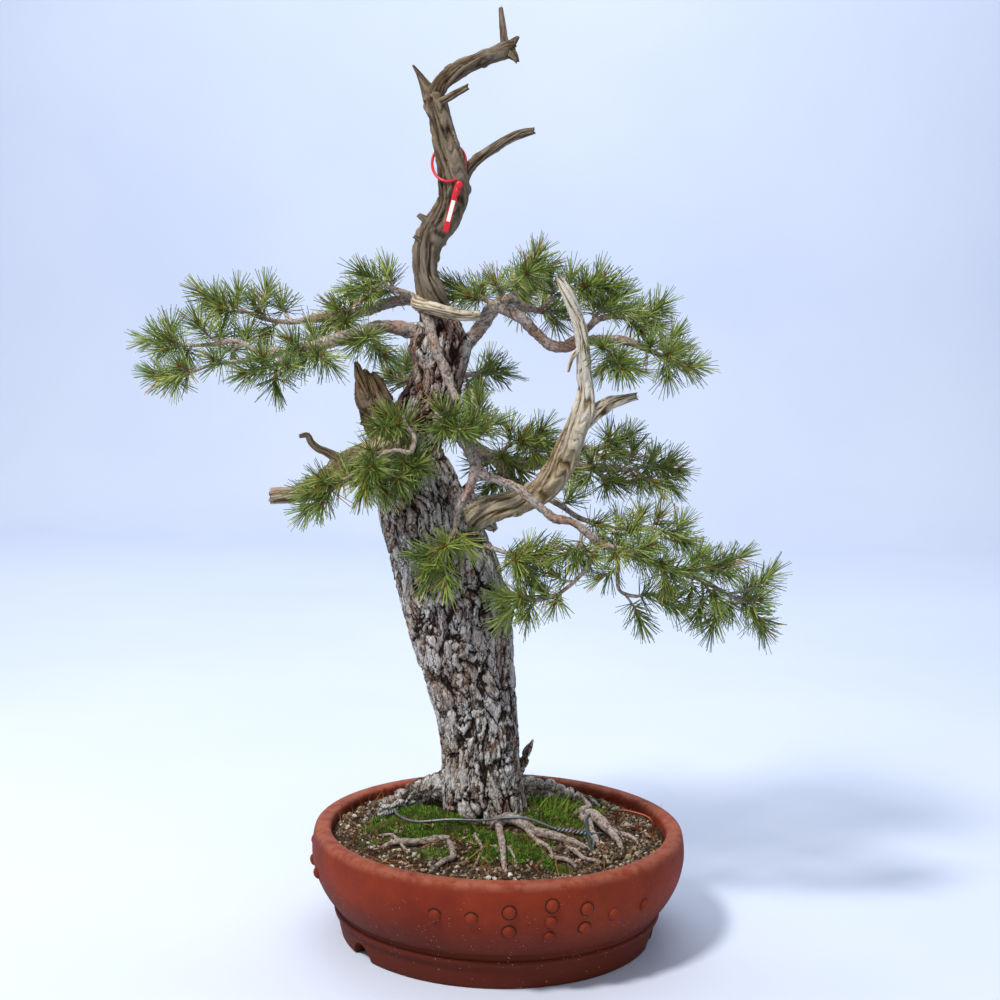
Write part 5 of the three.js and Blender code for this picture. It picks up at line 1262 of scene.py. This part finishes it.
def ground(x, y):
    """The soil's height: the mound at the trunk, cushions of moss and small lumps"""
    off = (x - MOUND["x"]) ** 2 + (y - MOUND["y"]) ** 2
    mound = MOUND["rise"] * np.exp(-off / (2 * MOUND["spread"] ** 2))
    height = SOIL_EDGE + mound + 1.2 * np.sin(x / 17) * np.cos(y / 19)
    spot = np.stack([x, y, 0 * x], axis=-1)
    edge = rise(np.hypot(x, y), SOIL_RADIUS, SOIL_RADIUS - 40)
    lumps = sum((cloud(spot / size, seed) - 0.5) * high for size, seed, high in (
        (26, 81, 6), (11, 82, 4), (4.5, 83, 2)))
    for cx, cy, width, depth, lift, _ in MOSS:
        reach = np.hypot((x - cx) / width, (y - cy) / depth)
        height = height + lift * rise(1.2 - reach, 0, 0.9) * 0.7
    return height + lumps * (0.35 + 0.65 * edge)


def on_soil(points):
    """Points [x, y, height over the soil, radius] as [x, y, z, radius]"""
    spots = np.array(points, float)
    spots[:, 2] += ground(spots[:, 0], spots[:, 1])
    return spots


def beside_roots(x, y):
    """0 on a root or the trunk, and 1 from a few millimetres beside it"""
    open_soil = rise(np.hypot(x + 18, y - 24), 46, 54)
    for points in FLARES + THIN_ROOTS:
        line = flow(points, int(length_of(points) / 5))
        for px, py, _, radius in line:
            open_soil = np.minimum(open_soil, rise(np.hypot(x - px, y - py) - radius * 0.8, 0, 2.5))
    return open_soil


def ground_rings():
    """Corners of the soil's top, ring by ring from the middle outwards"""
    radii = np.linspace(2.4, SOIL_RADIUS, 92)
    turn, radius = np.meshgrid(np.linspace(0, 2 * np.pi, SOIL_TURNS, endpoint=False), radii)
    x, y = radius * np.cos(turn), radius * np.sin(turn)
    return x, y, ground(x, y)


def upward_quads(grid):
    """Faces between rings whose radii grow, with their fronts turned up"""
    return ring_quads(grid)[:, [0, 3, 2, 1]]


def build_soil(finish):
    """The soil as one closed body that fills the pot"""
    x, y, z = ground_rings()
    spots = [np.stack([x, y, z], axis=-1).reshape(-1, 3)]
    bearing = np.linspace(0, 2 * np.pi, SOIL_TURNS, endpoint=False)
    sides = ((207, 85), (190, 47), (156, FLOOR_TOP + 0.5))
    for radius, height in sides:
        level = height + 0 * bearing
        spots.append(np.stack([radius * np.cos(bearing), radius * np.sin(bearing), level], -1))
    peak = float(ground(np.array([0.0]), np.array([0.0]))[0])
    spots.append(np.array([[0, 0, peak], [0, 0, FLOOR_TOP + 0.5]]))
    rings = len(x) + len(sides)
    grid = np.arange(rings * SOIL_TURNS).reshape(rings, SOIL_TURNS)
    ahead = np.roll(grid, -1, axis=1)
    middle, under = grid.size, grid.size + 1
    caps = [[middle, a, b] for a, b in zip(grid[0], ahead[0])]
    caps += [[under, b, a] for a, b in zip(grid[-1], ahead[-1])]
    whole = np.vstack(spots)
    stock = Stock()
    stock.add(whole, upward_quads(grid).tolist() + caps, moss=moss_share(whole[:, 0], whole[:, 1]))
    stock.place("potting_soil", [finish], "soil", "soil")


def open_ground():
    """The soil's top alone, with shares for what lies on it, for scattering over"""
    x, y, z = ground_rings()
    quads = upward_quads(np.arange(x.size).reshape(x.shape)).tolist()
    flat_x, flat_y = x.ravel(), y.ravel()
    moss = moss_share(flat_x, flat_y)
    clear = beside_roots(flat_x, flat_y)
    reach = np.hypot(flat_x, flat_y)
    rim = rise(reach, 208, 204)
    grass = np.exp(-((flat_x - 66) ** 2 + (flat_y - 22) ** 2) / (2 * 26 ** 2)) * (moss > 0.4)
    grit = (1 - 0.93 * moss) * clear * rim
    stock = Stock()
    stock.add(np.stack([flat_x, flat_y, z.ravel()], axis=-1), quads, moss=moss * clear, grit=grit,
              grass=grass * clear, pebble=grit * rise(reach, 140, 185),
              litter=clear * rim * (0.35 + 0.65 * (1 - moss)))
    return stock.mesh("open_ground")


def strew_tree():
    """Scatters a small thing over the ground, more thickly where a named share is high"""
    bench = new_tree("strew", {
        "Thing": "Object", "Density": "Float", "Where": "String", "Smallest": "Float", "Largest": "Float",
        "Lean": "Float", "Lift": "Float", "Seed": "Int", "Finish": "Material"})
    share = bench.node("GeometryNodeInputNamedAttribute", {"data_type": "FLOAT"}, {
        "Name": bench.inlet("Where")})
    seed = bench.inlet("Seed")
    dots = bench.node("GeometryNodeDistributePointsOnFaces", None, {
        "Mesh": bench.inlet("Geometry"), "Density": bench.inlet("Density") * share, "Seed": seed}, "Points")
    lean = bench.inlet("Lean")
    stance = leaning(bench, dots.also("Rotation"), bench.draw(-1.0, 1.0, seed + 1) * lean,
                     bench.draw(-1.0, 1.0, seed + 2) * lean, bench.draw(-HALF_TURN, HALF_TURN, seed + 3))
    lift = bench.node("ShaderNodeCombineXYZ", None, {"Z": bench.inlet("Lift")})
    lifted = bench.node("GeometryNodeSetPosition", None, {"Geometry": dots, "Offset": lift})
    thing = bench.node("GeometryNodeObjectInfo", {"transform_space": "ORIGINAL"}, {
        "Object": bench.inlet("Thing")}, "Geometry")
    laid = bench.node("GeometryNodeInstanceOnPoints", None, {
        "Points": lifted, "Instance": thing, "Rotation": stance,
        "Scale": bench.draw(bench.inlet("Smallest"), bench.inlet("Largest"), seed + 4)})
    return finish_tree(bench, laid)


def small_object(name, spots, faces):
    mesh = bpy.data.meshes.new(name)
    mesh.from_pydata((np.array(spots) * MM).tolist(), [], faces)
    return new_object(name, mesh)


def unpacked(form):
    """A bmesh's corners and faces as plain lists. The bmesh is freed."""
    spots = np.array([corner.co[:] for corner in form.verts])
    faces = [[corner.index for corner in face.verts] for face in form.faces]
    form.free()
    return spots, faces


def stone(name, seed, size=(1.15, 0.9, 0.72)):
    """One rough grain, about a millimetre in radius unless size says more"""
    form = bmesh.new()
    bmesh.ops.create_icosphere(form, subdivisions=1, radius=1.0)
    spots, faces = unpacked(form)
    draw = np.random.RandomState(seed)
    spots = spots * draw.uniform(0.72, 1.12, (len(spots), 1)) * size
    return small_object(name, spots, faces)


def spiked(name, spikes):
    """Thin three-sided spikes [foot x, foot y, tip x, tip y, height, width] that share a root"""
    spots = []
    faces = []
    for x, y, tip_x, tip_y, height, width in spikes:
        start = len(spots)
        spots += [[x + width * math.cos(a), y + width * math.sin(a), -0.6] for a in (0.4, 2.5, 4.6)]
        spots.append([tip_x, tip_y, height])
        faces += [[start, start + 1, start + 3], [start + 1, start + 2, start + 3],
                  [start + 2, start, start + 3], [start + 2, start + 1, start]]
    return small_object(name, spots, faces)


def strip(name, length, width, bend):
    """One thin three-sided blade that bends over"""
    steps = 4
    spots = []
    for k in range(steps):
        share = k / steps
        half = width * (1 - share ** 2) + 0.05
        spots += [[bend * share ** 2 + half * math.cos(a) * 0.5, half * math.sin(a), length * share]
                  for a in (0.5, 2.6, 4.7)]
    spots.append([bend, 0, length])
    faces = [[2, 1, 0]]
    for k in range(steps - 1):
        faces += [[3 * k + a, 3 * k + b, 3 * k + 3 + b, 3 * k + 3 + a] for a, b in ((0, 1), (1, 2), (2, 0))]
    top = 3 * (steps - 1)
    faces += [[top + a, top + b, 3 * steps] for a, b in ((0, 1), (1, 2), (2, 0))]
    return small_object(name, spots, faces)


def build_litter(finishes):
    """Strews the soil. A row's facts: its piece's name, what is strewn, how many to the square metre, the
    share that it follows, its smallest and largest size, lean, lift in millimetres, finish and seed."""
    tree = strew_tree()
    surface = open_ground()
    sprig = spiked("sprig", [[0, 0, 0.5, 0.3, 4.2, 0.9], [0.9, 0.4, 2.8, 1.0, 3.2, 0.8],
                             [-0.6, 0.5, -2.2, -1.6, 3.3, 0.8]])
    grains = [stone("grain_a", 3), stone("grain_b", 8)]
    chip = stone("bark_chip", 4, (4.2, 1.9, 0.7))
    blade = strip("blade", 28, 0.6, 9)
    dead = strip("dead_needle", 34, 0.6, 3)
    rows = [
        ("fine_grit", grains[0], 44000, "grit", 1.3, 2.9, 3.14, 0.6, "grit", 4),
        ("coarse_grit", grains[1], 9000, "grit", 2.4, 4.4, 0.7, 1.2, "grit", 5),
        ("pebbles", grains[0], 700, "pebble", 4.2, 6.6, 0.5, 1.5, "grit", 6),
        ("moss_cushions", sprig, 240000, "moss", 0.7, 1.5, 0.5, 0.1, "moss", 7),
        ("grass_blades", blade, 22000, "grass", 0.35, 1.05, 0.45, 0.0, "grass", 8),
        ("needle_litter", dead, 5200, "litter", 0.5, 1.05, 1.5, 2.4, "litter", 9),
        ("bark_chips", chip, 2600, "litter", 0.5, 1.5, 0.6, 1.8, "chip", 10),
    ]
    for name, thing, density, where, low, high, lean, lift, finish, seed in rows:
        mesh = grow(new_object(name + "_ground", surface.copy()), tree, Thing=thing, Density=float(density),
                    Where=where, Smallest=low, Largest=high, Lean=lean, Lift=lift * MM, Seed=seed,
                    Finish=finishes[finish])
        place(name, mesh, "soil", "soil")
    for thing in (sprig, *grains, chip, blade, dead):
        bpy.data.objects.remove(thing)


# Wires and tag

# Wires over the soil: points [x, y, height over the soil, radius]
TIE_WIRE = [[-142, 60, -12, 1.5], [-136, 30, 5, 1.5], [-128, 0, 6, 1.5], [-104, -36, 6, 1.5],
            [-62, -46, 7, 1.5], [-20, -46, 9, 1.5], [8, -42, 16, 1.5], [34, -42, 14, 1.5],
            [71, -38, 7, 1.5]]
TIE_TAILS = [[[112, -33, 8, 1.5], [118, -46, 7, 1.5], [117, -66, 4, 1.5], [112, -88, -12, 1.5]],
             [[110, -32, 8, 1.5], [122, -28, 9, 1.5], [132, -14, 4, 1.5], [134, -6, -12, 1.5]]]
GREEN_WIRE = [[128, 60, -12, 1.6], [124, 36, 13, 1.6], [112, -2, 15, 1.6], [110, -34, 13, 1.6],
              [114, -70, 5, 1.6], [120, -96, -12, 1.6]]

# Where the tie wire is twisted: both ends [x, y, height over the soil] and the number of turns
TIE_TWISTS = [([[70, -38, 7], [113, -33, 8]], 4.5), ([[-132, 20, 7], [-146, 10, 9]], 2.5)]

# The copper hook's points [x, y, z]
COPPER_WIRE = [[152, 34, 112], [152, 30, 140], [154, 27, 147], [160, 24, 149], [176, 17, 148],
               [188, 11, 146], [194, 6, 143], [197, 4, 136], [197, 4, 112]]

# The loop's middle, radius and tilt, the knob that closes it, and the strip and label that hang from it
TAG = {"centre": (-78, -4, 962), "radius": 20.5, "tilt": 50, "knob": (-64, -29, 933), "length": 58,
       "width": 7, "thick": 1.2, "label_width": 4.6, "label_length": 26, "label_thick": 0.4, "lean": 14}


def twisted(start, end, lay, radius, turns):
    """Two strands wound round each other from one spot to another"""
    share = np.linspace(0, 1, int(turns * 14) + 1)
    ahead = (end - start) / np.linalg.norm(end - start)
    side = np.cross(ahead, [0, 0, 1.0])
    side /= np.linalg.norm(side)
    up = np.cross(side, ahead)
    strands = []
    for phase in (0, math.pi):
        angle = 2 * math.pi * turns * share + phase
        line = start + np.outer(share, end - start) + lay * (
            np.outer(np.cos(angle), side) + np.outer(np.sin(angle), up))
        strands.append(np.hstack([line, np.full((len(line), 1), radius)]))
    return strands


def build_wires(grey, green, copper):
    stock = Stock()
    tube(stock, flow(on_soil(TIE_WIRE), 240), 12)
    for points in TIE_TAILS:
        tube(stock, flow(on_soil(points), 40), 10)
    for ends, turns in TIE_TWISTS:
        start, end = on_soil(ends)
        for strand in twisted(start, end, 1.8, 1.5, turns):
            tube(stock, strand, 10)
    stock.place("grey_tie_wire", [grey], "aluminium_wire", "tie_wire")
    stock = Stock()
    tube(stock, flow(on_soil(GREEN_WIRE), 120), 12)
    stock.place("green_coated_wire", [green], "green_wire", "green_wire")
    stock = Stock()
    tube(stock, flow([[*spot, 1.6] for spot in COPPER_WIRE], 90), 12)
    stock.place("copper_hook", [copper], "copper_wire", "copper_wire")


def tag_frame():
    """Where the tag's strip hangs, with its own z up"""
    return (Matrix.Translation((TAG["knob"][0] - 2, TAG["knob"][1] - 0.5, TAG["knob"][2]))
            @ Matrix.Rotation(math.radians(TAG["lean"]), 4, "Y"))


def rounded_plate(width, length, thick, corner, matrix, bevel):
    """A flat plate that hangs down from its frame's origin, with round corners and eased edges"""
    outline = []
    for cx, cz, start in ((1, 0, 0), (-1, 0, 90), (-1, -1, 180), (1, -1, 270)):
        x = cx * (width / 2 - corner)
        z = -corner if cz == 0 else -length + corner
        turns = [math.radians(start + a) for a in range(0, 91, 15)]
        outline += [(x + corner * math.cos(a), z + corner * math.sin(a)) for a in turns]
    form = bmesh.new()
    front = form.faces.new([form.verts.new((x, -thick / 2, z)) for x, z in outline])
    grown = bmesh.ops.extrude_face_region(form, geom=[front])
    back = [part for part in grown["geom"] if isinstance(part, bmesh.types.BMVert)]
    bmesh.ops.translate(form, vec=(0, thick, 0), verts=back)
    bmesh.ops.recalc_face_normals(form, faces=form.faces)
    edges = [e for e in form.edges if len(e.link_faces) == 2 and e.calc_face_angle(0) > 1.0]
    bmesh.ops.bevel(form, geom=edges, offset=bevel, segments=2, affect="EDGES", profile=0.6)
    bmesh.ops.transform(form, matrix=matrix, verts=form.verts)
    return unpacked(form)


def build_tag(red, white):
    stock = Stock()
    tilt = math.radians(TAG["tilt"])
    turn = np.linspace(0, 2 * math.pi, 97)
    cx, cy, cz = TAG["centre"]
    x = TAG["radius"] * np.cos(turn)
    y = TAG["radius"] / math.cos(tilt) * np.sin(turn)
    loop = np.stack([cx + x, cy + y * math.cos(tilt), cz + y * math.sin(tilt), 1.8 + 0 * x], axis=-1)
    tube(stock, loop, 10)
    kx, ky, kz = TAG["knob"]
    knob = ((-4.4, 2.6), (-4.0, 3.9), (-3, 4.5), (3, 4.5), (4.0, 3.9), (4.4, 2.6))
    tube(stock, np.array([[kx, ky + dy, kz, r] for dy, r in knob], float), 24, lead=(1, 0, 0))
    spots, faces = rounded_plate(TAG["width"], TAG["length"], TAG["thick"], 1.6, tag_frame(), 0.25)
    stock.add(spots, faces)
    neck = flow([[kx - 1, ky + 1, kz - 1, 3.2], [kx - 3, ky, kz - 9, 3.4], [kx - 5, ky, kz - 16, 1.2]], 12)
    tube(stock, neck, 12)
    stock.place("red_loop_tag", [red], "tag", "plant_tag")
    stock = Stock()
    lift = TAG["thick"] / 2 + TAG["label_thick"] / 2 + 0.05
    shifted = tag_frame() @ Matrix.Translation((0, -lift, -TAG["length"] * 0.55 + TAG["label_length"] / 2))
    spots, faces = rounded_plate(TAG["label_width"], TAG["label_length"], TAG["label_thick"], 0.7,
                                 shifted, 0.08)
    stock.add(spots, faces)
    stock.place("blank_label", [white], "label", "tag_label")


# Studio

# The camera's place in metres from the pot's axis, its lens in millimetres, its shift as a share of the
# picture, and its pitch and roll in radians
CAMERA_SPOT = (0, -2.0, 0.765)
CAMERA_LENS = 58.1
CAMERA_SHIFT = -0.00575
CAMERA_PITCH = 0.107
CAMERA_ROLL = 0.0218

# The floor's reach forwards and back, the backdrop's curve and height, and half its width, in metres
FLOOR_FRONT = -5.0
FLOOR_BACK = 3.7
SWEEP_RADIUS = 0.9
BACKDROP_TOP = 5.5
HALF_WIDTH = 6.0

# Lights: name, place, what it points at, size, power and colour
LIGHTS = [
    ("key", (-1.3, -1.5, 3.0), (0.05, 0, 0.55), 0.5, 102, (1.0, 0.97, 0.92)),
    ("fill", (2.2, -2.4, 1.6), (0, 0, 0.6), 2.4, 9, (0.9, 0.94, 1.0)),
    ("backdrop", (0.0, 1.6, 4.2), (0, 4.2, 0.9), 3.2, 118, (0.93, 0.96, 1.0)),
]
SKY = {"Color": (0.84, 0.89, 1.0, 1.0), "Strength": 0.42}


def look_through():
    """The camera: two metres in front of the trunk, at two thirds of its height, tipped slightly down"""
    data = bpy.data.cameras.new("photo_camera")
    data.sensor_width = 36
    data.lens = CAMERA_LENS
    data.shift_x = CAMERA_SHIFT
    data.clip_end = 50
    camera = new_object("photo_camera", data)
    forward = Vector((0, math.cos(CAMERA_PITCH), -math.sin(CAMERA_PITCH)))
    level = Vector((1, 0, 0))
    raised = Vector((0, math.sin(CAMERA_PITCH), math.cos(CAMERA_PITCH)))
    right = level * math.cos(CAMERA_ROLL) + raised * math.sin(CAMERA_ROLL)
    up = raised * math.cos(CAMERA_ROLL) - level * math.sin(CAMERA_ROLL)
    stance = Matrix((right, up, -forward)).transposed().to_4x4()
    camera.matrix_world = Matrix.Translation(Vector(POT_AXIS) + Vector(CAMERA_SPOT)) @ stance
    bpy.context.scene.camera = camera


def build_studio():
    """A pale floor that sweeps up behind into a plain backdrop, and soft light from the upper left"""
    profile = [(FLOOR_FRONT, 0.0), (FLOOR_BACK, 0.0)]
    profile += [(FLOOR_BACK + SWEEP_RADIUS * math.sin(a), SWEEP_RADIUS - SWEEP_RADIUS * math.cos(a))
                for a in np.linspace(0.08, math.pi / 2, 16)]
    profile.append((FLOOR_BACK + SWEEP_RADIUS, BACKDROP_TOP))
    form = bmesh.new()
    rows = [[form.verts.new((x, y, z - 0.0005)) for x in (-HALF_WIDTH, HALF_WIDTH)] for y, z in profile]
    for low, high in zip(rows, rows[1:]):
        form.faces.new([low[0], low[1], high[1], high[0]])
    mesh = form_mesh("studio_sweep", form)
    mesh.polygons.foreach_set("use_smooth", [True] * len(mesh.polygons))
    mesh.materials.append(studio_finish())
    new_object("studio_sweep", mesh)
    for name, spot, aim, size, power, colour in LIGHTS:
        data = bpy.data.lights.new(name, "AREA")
        data.size = size
        data.energy = power
        data.color = colour
        light = new_object(name, data)
        light.location = spot
        light.rotation_euler = (Vector(aim) - Vector(spot)).to_track_quat("-Z", "Y").to_euler()
    world = bpy.data.worlds.new("daylight")
    world.use_nodes = True
    for key, value in SKY.items():
        world.node_tree.nodes["Background"].inputs[key].default_value = value
    bpy.context.scene.world = world
    bpy.context.scene.view_settings.view_transform = "Standard"


def main():
    look_through()
    build_studio()
    bark = bark_finish()
    twig = twig_finish("branch_bark", 0.4)
    root = twig_finish("root_bark", 1.0)
    build_pot(clay_finish())
    build_soil(ground_finish())
    build_trunk([bark])
    build_branches([twig])
    build_roots(bark, root)
    for name, colours in WOOD_COLOURS.items():
        build_deadwood(name, wood_finish(name.replace("dead", "weathered_"), *colours))
    build_litter({"grit": grit_finish(), "moss": moss_finish(), "grass": grass_finish(),
                  "litter": litter_finish(), "chip": chip_finish()})
    tree = needle_tree()
    finishes = [twig, bud_finish(), needle_finish()]
    for k, (name, spray) in enumerate(SPRAYS.items()):
        build_spray(name, spray, tree, finishes, 200 + 9 * k)
    build_wires(wire_finish("aluminium", "8b9094", "5f6468", 0.4, 0.85),
                wire_finish("green_coating", "1d3c33", "2c5546", 0.5, 0.0),
                wire_finish("copper", "8c4a33", "a86a4a", 0.4, 0.8))
    build_tag(plastic_finish("red_plastic", "d01f2c", "b3141f", 0.28),
              plastic_finish("white_label", "f2f2f0", "e4e4e0", 0.45))
    mesh_look = plastic_finish("drain_mesh", "20251f", "2d332b", 0.6)
    for k in range(DRAIN_COUNT):
        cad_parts[f"drain_mesh_{k + 1}"].material_slots[0].material = mesh_look


main()
